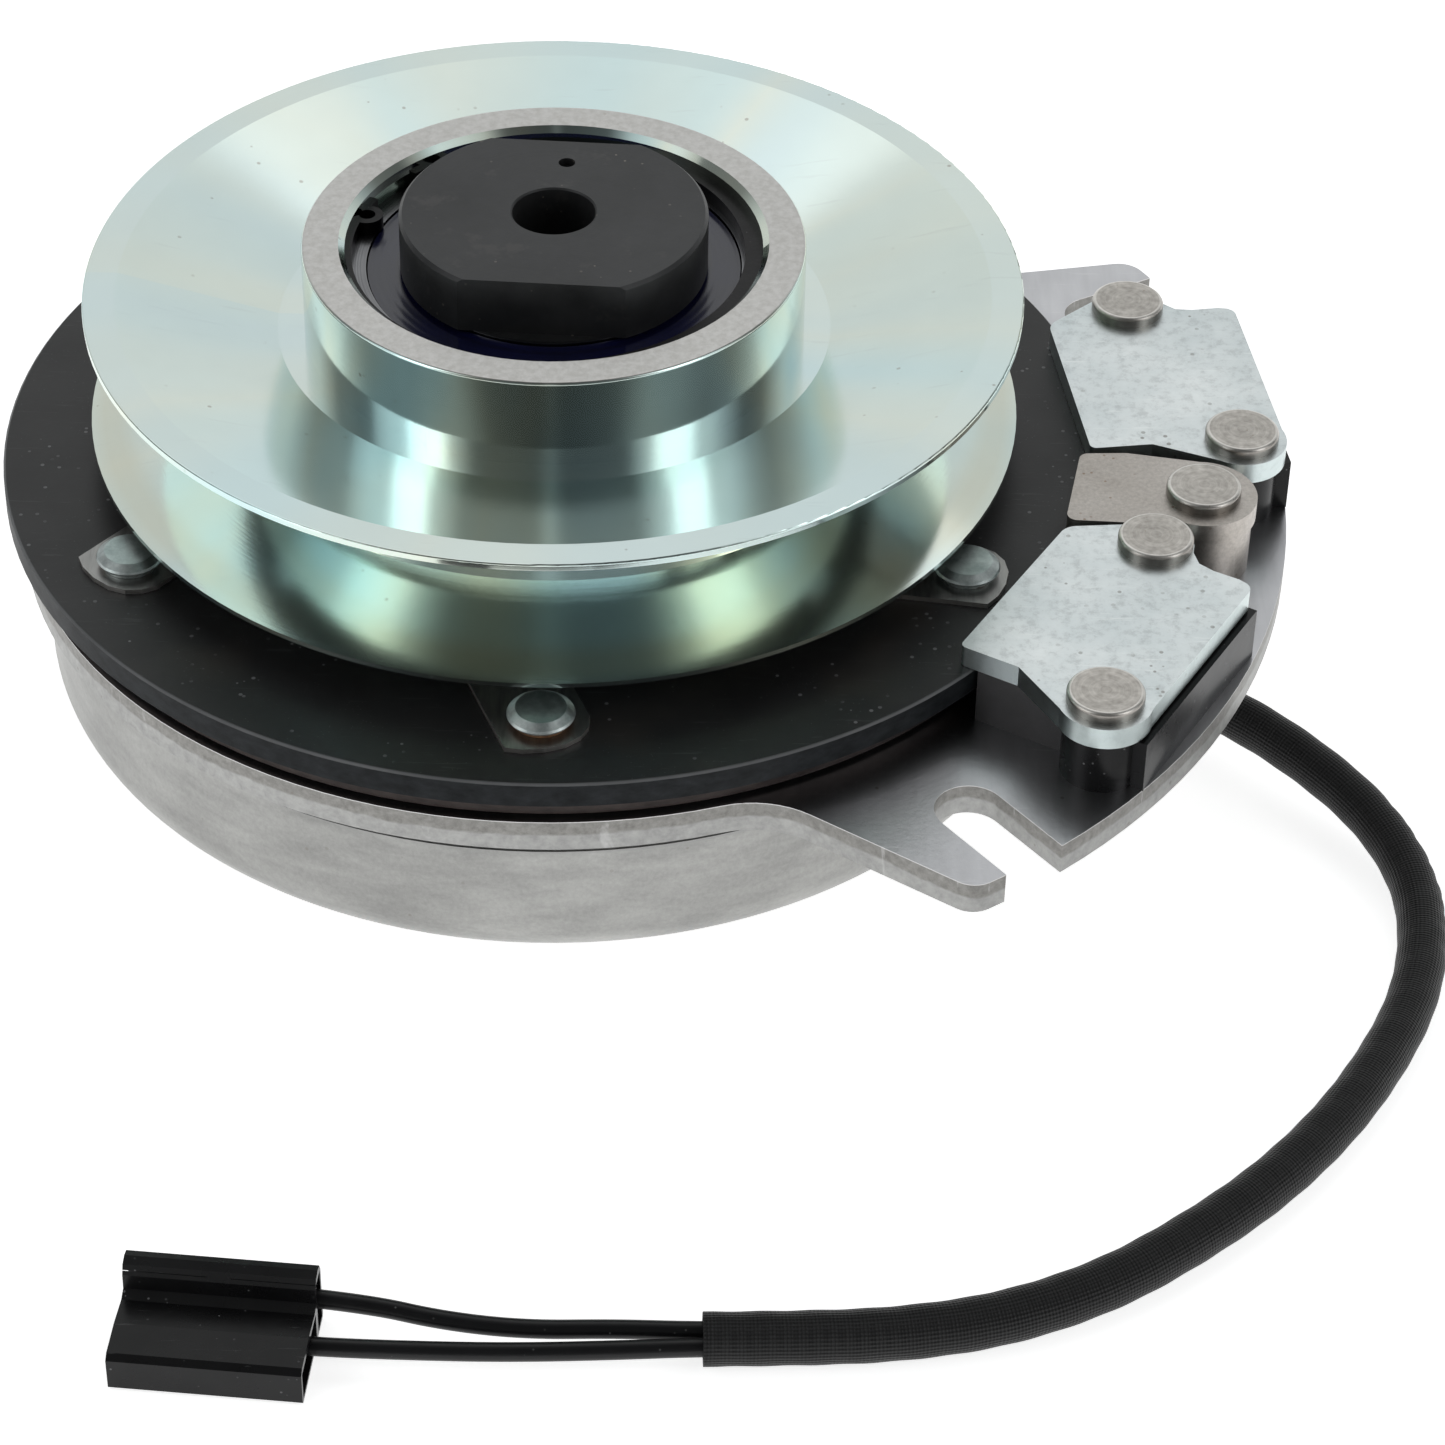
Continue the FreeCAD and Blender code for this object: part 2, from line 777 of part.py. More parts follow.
def bearings():
    low, high = s.field_bearing_bottom, s.field_bearing_top
    middle = (low + high) / 2
    bearing_ring("FieldOuterRace", "field_bearing_outer_ring", s.outer_land - s.race_gap,
                 s.bearing_radius, low, high, s.field_ball_radius, [middle])
    bearing_ring("FieldInnerRace", "field_bearing_inner_ring", s.sleeve_radius,
                 s.inner_land, low, high, s.field_ball_radius, [middle])
    reach = s.field_ball_radius + s.cage_margin
    ball_cage("FieldCage", "field_bearing_cage", middle - reach, middle + reach,
              s.field_ball_radius, [middle], 11)
    ball_set("FieldBalls", "field_bearing_balls", s.field_ball_radius, [middle], 11)
    seal("FieldSealLow", "field_seal_lower", low + s.seal_recess,
         low + s.seal_recess + s.seal_thickness)
    seal("FieldSealHigh", "field_seal_upper", high - s.seal_recess - s.seal_thickness,
         high - s.seal_recess)
    low, high = s.pulley_bearing_bottom, s.pulley_bearing_top
    middle = (low + high) / 2
    rows = [middle - s.row_offset, middle + s.row_offset]
    bearing_ring("PulleyOuterRace", "pulley_bearing_outer_ring", s.outer_land - s.race_gap,
                 s.bearing_radius, low, high, s.pulley_ball_radius, rows)
    bearing_ring("PulleyInnerRace", "pulley_bearing_inner_ring", s.sleeve_radius,
                 s.inner_land, low, high, s.pulley_ball_radius, rows)
    reach = s.row_offset + s.pulley_ball_radius + s.cage_margin
    ball_cage("PulleyCage", "pulley_bearing_cage", middle - reach, middle + reach,
              s.pulley_ball_radius, rows, 13)
    ball_set("PulleyBalls", "pulley_bearing_balls", s.pulley_ball_radius, rows, 13)
    seal("PulleySealLow", "pulley_seal_lower", low + s.seal_recess,
         low + s.seal_recess + s.seal_thickness)
    seal("PulleySealHigh", "pulley_seal_upper", high - s.seal_recess - s.seal_thickness,
         high - s.seal_recess)


def retaining_ring(name, label, bottom, turn):
    """An internal retaining ring: eccentric hole, gap and two eyed lugs."""
    body = new_body(name)
    thickness = s.ring_thickness
    pad(body, name + "Disc", thickness, bottom, circles=[(0, 0, s.ring_groove_radius)])
    pocket(body, name + "Hole", thickness, bottom + thickness,
           circles=[(s.ring_hole_offset, 0, s.ring_hole_radius)])
    lugs = []
    for side in (-1, 1):
        x, y = polar(s.ring_lug_radius, s.ring_lug_angle * side)
        lugs.append((x, y))
        pad(body, "%sLug%d" % (name, side + 1), thickness, bottom,
            circles=[(x, y, s.ring_lug_size)])
    half = s.ring_gap_width / 2
    pocket(body, name + "Gap", thickness, bottom + thickness, corners=[
        (s.ring_hole_radius / 2, -half),
        (s.ring_groove_radius * 1.2, -half),
        (s.ring_groove_radius * 1.2, half),
        (s.ring_hole_radius / 2, half),
    ])
    pocket(body, name + "Eyes", thickness, bottom + thickness,
           circles=[(x, y, s.ring_eye_radius) for x, y in lugs])
    place(body, turn=turn)
    keep(body, label)


def rotor():
    hub = new_body("RotorHub")
    revolve(hub, "HubSleeve", [
        (s.shaft_bore, 0),
        (s.sleeve_radius, 0),
        (s.sleeve_radius, s.field_bearing_top),
        (s.hub_shoulder_radius, s.field_bearing_top),
        (s.hub_shoulder_radius, s.hub_flange_bottom),
        (s.hub_flange_radius, s.hub_flange_bottom),
        (s.hub_flange_radius, s.rotor_bottom),
        (s.hub_shoulder_radius, s.rotor_bottom),
        (s.hub_shoulder_radius, s.pulley_bearing_bottom),
        (s.sleeve_radius, s.pulley_bearing_bottom),
        (s.sleeve_radius, s.pulley_bearing_top),
        (s.cap_spigot_radius, s.pulley_bearing_top),
        (s.cap_spigot_radius, s.pulley_bearing_top - s.cap_spigot_depth),
        (s.shaft_bore, s.pulley_bearing_top - s.cap_spigot_depth),
    ])
    pocket(hub, "Keyway", s.pulley_bearing_top, s.pulley_bearing_top, corners=[
        (s.shaft_bore * 0.8, -(s.keyway_width / 2)),
        (s.keyway_top, -(s.keyway_width / 2)),
        (s.keyway_top, s.keyway_width / 2),
        (s.shaft_bore * 0.8, s.keyway_width / 2),
    ])
    keep(hub, "rotor_hub")
    disc = new_body("RotorDisc")
    revolve(disc, "RotorPlate", [
        (s.hub_shoulder_radius, s.rotor_bottom),
        (s.rotor_radius, s.rotor_bottom),
        (s.rotor_radius, s.rotor_top),
        (s.friction_outer, s.rotor_top),
        (s.friction_outer, s.friction_bottom),
        (s.friction_inner, s.friction_bottom),
        (s.friction_inner, s.rotor_top),
        (s.hub_shoulder_radius, s.rotor_top),
    ])
    sketch = new_sketch(disc, "XZ_Plane", "BarrierSection")
    draw_polygon(sketch, [
        (s.barrier_inner, s.rotor_bottom - 1),
        (s.barrier_outer, s.rotor_bottom - 1),
        (s.barrier_outer, s.rotor_top + 1),
        (s.barrier_inner, s.rotor_top + 1),
    ])
    slot = disc.newObject("PartDesign::Groove", "FluxBarrier")
    slot.Profile = sketch
    slot.ReferenceAxis = (sketch, ["V_Axis"])
    bind(slot, "Angle", s.barrier_span)
    check_cut(disc, slot)
    around_z(disc, "FluxBarriers", [slot], s.arm_count)
    keep(disc, "rotor_disc")
    lining = new_body("FrictionRing")
    revolve(lining, "FrictionLining", [
        (s.friction_inner, s.friction_bottom),
        (s.friction_outer, s.friction_bottom),
        (s.friction_outer, s.rotor_top),
        (s.friction_inner, s.rotor_top),
    ])
    keep(lining, "friction_ring")


def hub_end_cap():
    body = new_body("HubEndCap")
    spigot_bottom = s.pulley_bearing_top - s.cap_spigot_depth
    under = s.pulley_bearing_top + s.cap_relief
    revolve(body, "CapTurned", [
        (s.cap_hole, spigot_bottom),
        (s.cap_spigot_radius, spigot_bottom),
        (s.cap_spigot_radius, s.pulley_bearing_top),
        (s.inner_land, s.pulley_bearing_top),
        (s.inner_land, under),
        (s.cap_radius, under),
        (s.cap_radius, s.cap_top),
        (s.cap_hole, s.cap_top),
    ])
    chamfer_edges(body, "CapEdge", s.cap_chamfer, ring_edge(s.cap_radius, s.cap_top))
    chamfer_edges(body, "CapHoleEdge", s.cap_chamfer / 2, ring_edge(s.cap_hole, s.cap_top))
    for side in (-1, 1):
        near = s.cap_flats / 2 * side
        far = s.cap_radius * 1.3 * side
        pocket(body, "CapFlat%d" % (side + 1), s.cap_top - under, s.cap_top, corners=[
            (-s.cap_radius, near),
            (s.cap_radius, near),
            (s.cap_radius, far),
            (-s.cap_radius, far),
        ])
    pocket(body, "CapDimple", s.dimple_depth, s.cap_top,
           circles=[(s.dimple_x, s.dimple_y, s.dimple_radius)])
    place(body, turn=s.cap_turn)
    keep(body, "hub_end_cap")


def pulley():
    body = new_body("Pulley")
    low, high = s.pulley_bearing_bottom, s.pulley_bearing_top
    mouth = s.collar_top - (s.collar_mouth - s.bearing_radius)
    boss_bottom = s.armature_top + s.spring_gap + s.spring_thickness
    revolve(body, "PulleyTurned", [
        (s.bearing_stop_radius, s.bearing_stop_bottom),
        (s.boss_inner, s.bearing_stop_bottom),
        (s.boss_inner, boss_bottom),
        (s.boss_outer, boss_bottom),
        (s.boss_outer, s.boss_top),
        (s.pulley_radius - 0.7, s.pulley_bottom),
        (s.pulley_radius, s.pulley_bottom),
        (s.pulley_radius, s.lower_land_top),
        (s.groove_radius, s.groove_low),
        (s.groove_radius, s.groove_high),
        (s.pulley_radius, s.upper_land_bottom),
        (s.pulley_radius, s.pulley_top),
        (s.dish_outer, s.pulley_top),
        (s.dish_inner, s.dish_floor),
        (s.collar_radius, s.dish_floor),
        (s.collar_radius, s.collar_top),
        (s.collar_mouth, s.collar_top),
        (s.bearing_radius, mouth),
        (s.bearing_radius, high + s.ring_thickness),
        (s.ring_groove_radius, high + s.ring_thickness),
        (s.ring_groove_radius, high),
        (s.bearing_radius, high),
        (s.bearing_radius, low),
        (s.bearing_stop_radius, low),
    ])
    round_edges(body, "CollarRound", 0.5, ring_edge(s.collar_radius, s.collar_top))
    round_edges(body, "RimRound", 0.25, ring_edge(s.pulley_radius, s.pulley_top))
    x, y = polar(s.spring_rivet_circle, s.arm_turn)
    hole = pocket(body, "SpringRivetHole", s.bearing_stop_bottom - boss_bottom,
                  s.bearing_stop_bottom, circles=[(x, y, s.spring_rivet_shank)])
    around_z(body, "SpringRivetHoles", [hole], s.arm_count)
    keep(body, "pulley")


def arm_outline():
    """Strap from the clamped ring to its trimmed tip, along the lean, from the rivet outward."""
    half = s.strap_half
    corners = [
        (-s.strap_reach, -half),
        (half * 0.57, -half),
        (half * 0.76, -(half * 0.68)),
        (half * 0.88, -(half * 0.24)),
        (half * 0.89, half * 0.22),
        (half * 0.76, half * 0.60),
        (half * 0.52, half * 0.86),
        (half * 0.2, half),
        (-s.strap_reach, half),
    ]
    direction = s.arm_turn + s.arm_lean
    pin_x, pin_y = polar(s.arm_rivet_radius, s.arm_turn)
    turned = [rotated(x, y, direction) for x, y in corners]
    return [(pin_x + x, pin_y + y) for x, y in turned]


def leaf_spring():
    body = new_body("LeafSpring")
    bottom = s.armature_top + s.spring_gap
    top = bottom + s.spring_thickness
    pad(body, "SpringRing", s.spring_thickness, bottom, circles=[(0, 0, s.spring_outer)])
    arm = pad(body, "SpringArm", s.spring_thickness, bottom, corners=arm_outline())
    around_z(body, "SpringArms", [arm], s.arm_count)
    pocket(body, "SpringBore", s.spring_thickness, top, circles=[(0, 0, s.spring_bore)])
    tip = polar(s.arm_rivet_radius, s.arm_turn)
    root = polar(s.spring_rivet_circle, s.arm_turn)
    hole = pocket(body, "SpringTipHole", s.spring_thickness, top,
                  circles=[(tip[0], tip[1], s.rivet_shank + 0.1)])
    around_z(body, "SpringTipHoles", [hole], s.arm_count)
    hole = pocket(body, "SpringRootHole", s.spring_thickness, top,
                  circles=[(root[0], root[1], s.spring_rivet_shank)])
    around_z(body, "SpringRootHoles", [hole], s.arm_count)
    keep(body, "leaf_spring")


def rivets():
    """Rivets of the spring: the outer ones hold the armature, the inner ones the pulley."""
    seat = s.armature_top + s.spring_gap + s.spring_thickness
    head_bottom = seat + s.spring_gap
    head_top = seat + s.rivet_head_height
    for index in range(SIZES["arm_count"]):
        x, y = polar(s.arm_rivet_radius, s.arm_turn + index * 60)
        body = new_body("ArmatureRivet%d" % index)
        revolve(body, "ArmatureRivetTurned%d" % index, [
            (0, s.armature_bottom + 0.3),
            (s.rivet_shank, s.armature_bottom + 0.3),
            (s.rivet_shank, head_bottom),
            (s.rivet_neck, head_bottom),
            (s.rivet_neck, head_bottom + s.rivet_edge_height * 0.4),
            (s.rivet_head - 0.2, head_bottom + s.rivet_edge_height * 0.7),
            (s.rivet_head, head_bottom + s.rivet_edge_height),
            (s.rivet_head - 0.2, head_bottom + s.rivet_edge_height * 1.25),
            (s.rivet_head - s.rivet_bevel, head_top),
            (0, head_top),
        ])
        place(body, x, y)
        keep(body, "armature_rivet_%d" % (index + 1))
    bottom = s.armature_top + s.spring_gap
    parts = []
    for index in range(SIZES["arm_count"]):
        x, y = polar(s.spring_rivet_circle, s.arm_turn + index * 60)
        head = cylinder("SpringRivetHead%d" % index, s.spring_rivet_head,
                        s.spring_rivet_head_height, x, y, bottom - s.spring_rivet_head_height)
        shank = cylinder("SpringRivetShank%d" % index, s.spring_rivet_shank,
                         s.bearing_stop_bottom - bottom - 0.5, x, y, bottom)
        parts.append(fuse("SpringRivet%d" % index, [head, shank]))
    thing = doc.addObject("Part::Compound", "SpringRivets")
    thing.Links = parts
    keep(thing, "spring_rivets")


def armature():
    body = new_body("ArmatureDisc")
    thickness = s.armature_top - s.armature_bottom
    pad(body, "ArmaturePlate", thickness, s.armature_bottom,
        circles=[(0, 0, s.armature_radius), (0, 0, s.armature_bore)])
    chamfer_edges(body, "ArmatureEdge", s.armature_chamfer,
                  ring_edge(s.armature_radius, s.armature_top))
    x, y = polar(s.arm_rivet_radius, s.arm_turn)
    hole = pocket(body, "ArmatureRivetHole", thickness, s.armature_top,
                  circles=[(x, y, s.rivet_shank)])
    around_z(body, "ArmatureRivetHoles", [hole], s.arm_count)
    keep(body, "armature_disc")


def brake_plate(name, label, turn):
    """A pole plate: straight inner edge, a lobe round one pin and a rounded tip round the other."""
    body = new_body(name)
    thickness = s.plate_top - s.plate_bottom
    low = -s.plate_low
    pad(body, name + "Blank", thickness, s.plate_bottom, corners=[
        (s.plate_inner, low),
        (s.plate_inner + 9.5, low),
        (s.pin_b_x - 2.4, s.pin_b_y - s.pin_b_lobe * 0.93),
        (s.plate_outer, s.pin_b_y - 1.6),
        (s.plate_outer, 16.3),
        (s.plate_outer - 2.5, 16.9),
        (s.pin_a_x + 10.2, 16.8),
        (s.pin_a_x + 7.6, 17.3),
        (s.pin_a_x + 5.6, s.pin_a_y + 1.1),
        (s.pin_a_x, s.pin_a_y + s.pin_a_lobe * 0.5),
        (s.pin_a_x - 5.3, s.pin_a_y + 2.4),
        (s.plate_inner, s.plate_high),
    ])
    pad(body, name + "Lobe", thickness, s.plate_bottom,
        circles=[(s.pin_a_x, s.pin_a_y, s.pin_a_lobe)])
    pad(body, name + "Tip", thickness, s.plate_bottom,
        circles=[(s.pin_b_x, s.pin_b_y, s.pin_b_lobe)])
    inner = SIZES["plate_inner"]
    round_edges(body, name + "Corner", 1.0, upright_edge([(inner, -SIZES["plate_low"])], 0.05))
    round_edges(body, name + "Shoulder", 3.0, upright_edge([(inner, SIZES["plate_high"])], 0.05))
    crest = (SIZES["plate_outer"], 16.3)
    round_edges(body, name + "Crest", 1.8, upright_edge([crest], 0.05))
    pocket(body, name + "Holes", thickness, s.plate_top, circles=[
        (s.pin_a_x, s.pin_a_y, s.pin_shank),
        (s.pin_b_x, s.pin_b_y, s.pin_shank),
    ])
    place(body, turn=turn)
    keep(body, label)


def carrier(name, label, turn):
    """Moulded carrier: a post round each pin, an outer wall and a web behind the magnet."""
    height = s.plate_bottom - s.flange_top
    wall_height = s.carrier_wall_top - s.flange_top
    body = new_body(name)
    pad(body, name + "Web", wall_height, s.flange_top, corners=[
        (s.carrier_web_inner, -s.carrier_web_half),
        (s.carrier_wall_outer - 1, -s.carrier_web_half),
        (s.carrier_wall_outer - 1, s.carrier_web_half),
        (s.carrier_web_inner, s.carrier_web_half),
    ])
    pad(body, name + "Wall", wall_height, s.flange_top, corners=[
        (s.carrier_wall_inner, -s.carrier_wall_low),
        (s.carrier_wall_outer, -s.carrier_wall_low),
        (s.carrier_wall_outer, s.carrier_wall_high),
        (s.carrier_wall_inner, s.carrier_wall_high),
    ])
    bridge = s.boss_post_radius * 0.7
    pad(body, name + "Bridge", wall_height, s.flange_top, corners=[
        (s.pin_a_x, s.pin_a_y - bridge),
        (s.carrier_wall_outer - 1, s.pin_a_y - bridge * 2.2),
        (s.carrier_wall_outer - 1, s.pin_a_y - bridge),
        (s.pin_a_x, s.pin_a_y),
    ])
    pad(body, name + "PostA", height, s.flange_top,
        circles=[(s.pin_a_x, s.pin_a_y, s.boss_post_radius)])
    pad(body, name + "PostB", height, s.flange_top,
        circles=[(s.pin_b_x, s.pin_b_y, s.boss_post_radius)])
    pocket(body, name + "Holes", height, s.plate_bottom, circles=[
        (s.pin_a_x, s.pin_a_y, s.pin_shank),
        (s.pin_b_x, s.pin_b_y, s.pin_shank),
    ])
    place(body, turn=turn)
    keep(body, label)


def magnet(name, label, turn):
    """Ceramic block under the plate, hollowed to clear the armature."""
    block = box(name + "Block", s.magnet_inner, s.magnet_outer, -s.magnet_low,
                s.magnet_high, s.flange_top, s.plate_bottom)
    relief = cylinder(name + "Relief", s.magnet_relief, s.plate_bottom, z=s.flange_top / 2)
    hollow = cut(name + "Hollow", block, relief)
    place(hollow, turn=turn)
    keep(hollow, label)


def pin(name, label, x, y, turn):
    """A headed rivet from the plate down through the flange, formed over underneath."""
    body = new_body(name)
    foot_bottom = s.shell_height - s.pin_foot_height
    revolve(body, name + "Turned", [
        (0, foot_bottom),
        (s.pin_foot * 0.7, foot_bottom),
        (s.pin_foot, foot_bottom + s.pin_foot_height / 2),
        (s.pin_foot, s.shell_height),
        (s.pin_shank, s.shell_height),
        (s.pin_shank, s.plate_top),
        (s.pin_head, s.plate_top),
        (s.pin_head, s.plate_top + s.pin_head_height),
        (0, s.plate_top + s.pin_head_height),
    ])
    round_edges(body, name + "HeadRound", s.pin_head_round,
                ring_edge(s.pin_head, s.plate_top + s.pin_head_height))
    at_x, at_y = rotated(x, y, turn)
    place(body, at_x, at_y)
    keep(body, label)


def stop_plate():
    body = new_body("StopPlate")
    thickness = s.plate_top - s.plate_bottom
    tip_x = s.stop_pin_x
    pad(body, "StopBlank", thickness, s.plate_bottom, corners=[
        (s.stop_inner, -10.7),
        (s.stop_inner + 9.1, -9.5),
        (s.stop_inner + 11.2, -8.35),
        (s.stop_inner + 13.2, -7.8),
        (tip_x - 2.0, -7.8),
        (tip_x, s.stop_tip * 0.985),
        (s.stop_inner + 6.8, 7.95),
        (s.stop_inner, 6.4),
    ])
    pad(body, "StopTip", thickness, s.plate_bottom, circles=[(tip_x, 0, s.stop_tip)])
    inner = SIZES["stop_inner"]
    round_edges(body, "StopCorners", 1.5, upright_edge([(inner, -10.7), (inner, 6.4)], 0.05))
    pocket(body, "StopHole", thickness, s.plate_top, circles=[(tip_x, 0, s.pin_shank)])
    place(body, turn=s.stop_turn)
    keep(body, "stop_plate")
    spacer = new_body("StopSpacer")
    pad(spacer, "SpacerTube", s.plate_bottom - s.flange_top, s.flange_top,
        circles=[(tip_x, 0, s.stop_post_radius), (tip_x, 0, s.pin_shank)])
    place(spacer, turn=s.stop_turn)
    keep(spacer, "stop_spacer")


def brake_group():
    for side, turn in (("front", s.front_plate_turn), ("rear", s.rear_plate_turn)):
        title = side.capitalize()
        brake_plate(title + "Plate", "brake_plate_" + side, turn)
        carrier(title + "Carrier", "magnet_carrier_" + side, turn)
        magnet(title + "Magnet", "brake_magnet_" + side, turn)
        pin(title + "PinA", "brake_pin_%s_a" % side, s.pin_a_x, s.pin_a_y, turn)
        pin(title + "PinB", "brake_pin_%s_b" % side, s.pin_b_x, s.pin_b_y, turn)
    stop_plate()
    pin("StopPin", "stop_pin", s.stop_pin_x, 0, s.stop_turn)


def rounded_path(points, title):
    """Straight runs joined by tangent arcs as large as the shorter run allows."""
    points = [FreeCAD.Vector(*point) for point in points]
    edges = []
    radii = []
    start = points[0]
    for before, corner, after in zip(points, points[1:], points[2:]):
        into = (corner - before).normalize()
        out = (after - corner).normalize()
        turn = into.getAngle(out)
        reach = 0.45 * min(corner.distanceToPoint(before), corner.distanceToPoint(after))
        first = corner - into * reach
        last = corner + out * reach
        inward = (out - into).normalize()
        radius = reach / math.tan(turn / 2)
        sag = radius * (1 / math.cos(turn / 2) - 1)
        edges.append(Part.LineSegment(start, first).toShape())
        edges.append(Part.Arc(first, corner + inward * sag, last).toShape())
        radii.append(round(radius, 1))
        start = last
    edges.append(Part.LineSegment(start, points[-1]).toShape())
    print(title, "radii", radii)
    return Part.Wire(edges)


def tube(path, radius):
    """A round section carried along the path."""
    start = path.Edges[0].Vertexes[0].Point
    along = path.Edges[0].tangentAt(path.Edges[0].FirstParameter)
    ring = Part.Wire([Part.Circle(start, along, radius).toShape()])
    solid = path.makePipeShell([ring], True, True)
    expected = math.pi * radius ** 2 * path.Length
    if abs(solid.Volume / expected - 1) > 0.01:
        raise RuntimeError("a cord's volume differs from its section times its length")
    return solid


def lead():
    path = rounded_path(LEAD_ROUTE, "lead")
    print("lead length", round(path.Length, 1))
    solid = tube(path, sheet.get("lead_radius"))
    end, before = FreeCAD.Vector(*LEAD_ROUTE[-1]), FreeCAD.Vector(*LEAD_ROUTE[-2])
    inward = (before - end).normalize()
    depth = sheet.get("lead_mouth_depth")
    mouth = Part.makeCylinder(sheet.get("lead_mouth_radius"), depth, end, inward)
    feature = doc.addObject("Part::Feature", "LeadSleeve")
    feature.Shape = solid.cut(mouth)
    keep(feature, "lead_sleeve")
    for name, route in (("far", FAR_WIRE_ROUTE), ("near", NEAR_WIRE_ROUTE)):
        path = rounded_path(route, name + " wire")
        print(name, "wire length", round(path.Length, 1))
        feature = doc.addObject("Part::Feature", "LeadWire" + name.capitalize())
        feature.Shape = tube(path, sheet.get("wire_radius"))
        keep(feature, "lead_wire_" + name)


def connector():
    wall = sheet.get("plug_wall")
    length = sheet.get("plug_length")
    depth = sheet.get("plug_depth")
    ridge = sheet.get("plug_ridge_depth")
    corners = [FreeCAD.Vector(0, y, z) for y, z in PLUG_PROFILE]
    outline = Part.makePolygon(corners + corners[:1])
    block = Part.Face(outline).extrude(FreeCAD.Vector(-length, 0, 0))
    web = sheet.get("plug_web")
    pocket_depth = (length - web) / 2
    front = (wall, ridge - wall * 1.4, wall, sheet.get("plug_front_height") - wall * 1.5)
    back = (ridge + wall * 0.7, depth - wall, wall, sheet.get("plug_ridge_height") - wall * 1.9)
    for y_low, y_high, z_low, z_high in (front, back):
        for start in (0.0, length - pocket_depth):
            corner = FreeCAD.Vector(-start - pocket_depth, y_low, z_low)
            cavity = Part.makeBox(pocket_depth, y_high - y_low, z_high - z_low, corner)
            block = block.cut(cavity)
    width = sheet.get("terminal_width")
    thickness = sheet.get("terminal_thickness")
    blade = sheet.get("terminal_length")
    terminals = []
    for label, route in (("near", NEAR_WIRE_ROUTE), ("far", FAR_WIRE_ROUTE)):
        spot = local_to_plug(route[-1])
        low = FreeCAD.Vector(spot.x - blade, spot.y - thickness / 2, spot.z - width / 2)
        tab = Part.makeBox(blade, thickness, width, low)
        block = block.cut(tab)
        terminals.append((label, tab))
    base = FreeCAD.Vector(SIZES["plug_x"], SIZES["plug_y"], 0)
    stand = FreeCAD.Placement(base, FreeCAD.Vector(0, 0, 1), SIZES["plug_turn"])
    feature = doc.addObject("Part::Feature", "ConnectorHousing")
    feature.Shape = block
    feature.Placement = stand
    keep(feature, "connector_housing")
    for label, tab in terminals:
        feature = doc.addObject("Part::Feature", "Terminal" + label.capitalize())
        feature.Shape = tab
        feature.Placement = stand
        keep(feature, "connector_terminal_" + label)


def local_to_plug(point):
    """A point of the clutch seen from the connector's own corner."""
    base = FreeCAD.Vector(SIZES["plug_x"], SIZES["plug_y"], 0)
    turn = FreeCAD.Rotation(FreeCAD.Vector(0, 0, 1), -SIZES["plug_turn"])
    return turn.multVec(FreeCAD.Vector(*point) - base)


def check_and_write():
    doc.recompute()
    for thing in doc.Objects:
        if "Invalid" in thing.State or "Error" in thing.State:
            raise RuntimeError("%s (%s) failed: %s" % (thing.Name, thing.Label, thing.State))
    os.makedirs("parts", exist_ok=True)
    for thing in NODES:
        if thing.Shape.isNull() or not thing.Shape.isValid():
            raise RuntimeError(thing.Label + " has no valid shape")
    for thing in NODES:
        thing.Shape.exportStep("parts/%s.step" % thing.Label)
        print(thing.Label, len(thing.Shape.Solids), round(thing.Shape.Volume, 1))
    print(len(NODES), "nodes")


field_shell()
field_inner_pole()
coil()
mounting_flange()
lead_grommet()
bearings()
retaining_ring("FieldRing", "field_retaining_ring", s.field_bearing_top, s.ring_gap_angle)
retaining_ring("PulleyRing", "pulley_retaining_ring", s.pulley_bearing_top, s.ring_gap_angle)
rotor()
hub_end_cap()
pulley()
leaf_spring()
rivets()
armature()
brake_group()
lead()
connector()
check_and_write()
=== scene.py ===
# Electromagnetic clutch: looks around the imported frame.  Metres, +Z up along the shaft.
import bpy
import math
import random
from mathutils import Matrix, Vector


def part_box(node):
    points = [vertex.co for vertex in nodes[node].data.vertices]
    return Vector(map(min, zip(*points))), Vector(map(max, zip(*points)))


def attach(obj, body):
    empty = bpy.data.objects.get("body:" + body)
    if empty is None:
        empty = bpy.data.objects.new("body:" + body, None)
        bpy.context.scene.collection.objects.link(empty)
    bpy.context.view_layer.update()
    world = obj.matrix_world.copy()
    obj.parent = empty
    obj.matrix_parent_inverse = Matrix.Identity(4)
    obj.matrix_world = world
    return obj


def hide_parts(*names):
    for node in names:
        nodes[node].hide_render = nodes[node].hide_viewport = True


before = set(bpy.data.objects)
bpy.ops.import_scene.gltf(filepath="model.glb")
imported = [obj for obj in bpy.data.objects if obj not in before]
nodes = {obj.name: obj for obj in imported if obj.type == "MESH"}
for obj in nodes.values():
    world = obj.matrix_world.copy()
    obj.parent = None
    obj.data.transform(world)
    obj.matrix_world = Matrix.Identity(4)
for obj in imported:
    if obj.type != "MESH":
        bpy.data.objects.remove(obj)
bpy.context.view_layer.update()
scene = bpy.context.scene
scene.view_settings.view_transform = "Standard"


# ---------------------------------------------------------------- camera

CAMERA_PITCH = math.radians(39.204)
CAMERA_ROLL = math.radians(1.147)
CAMERA_PLACE = (0.02636, -0.55501, 0.43521)
CAMERA_LENS = 110.81
SENSOR_WIDTH = 36.0


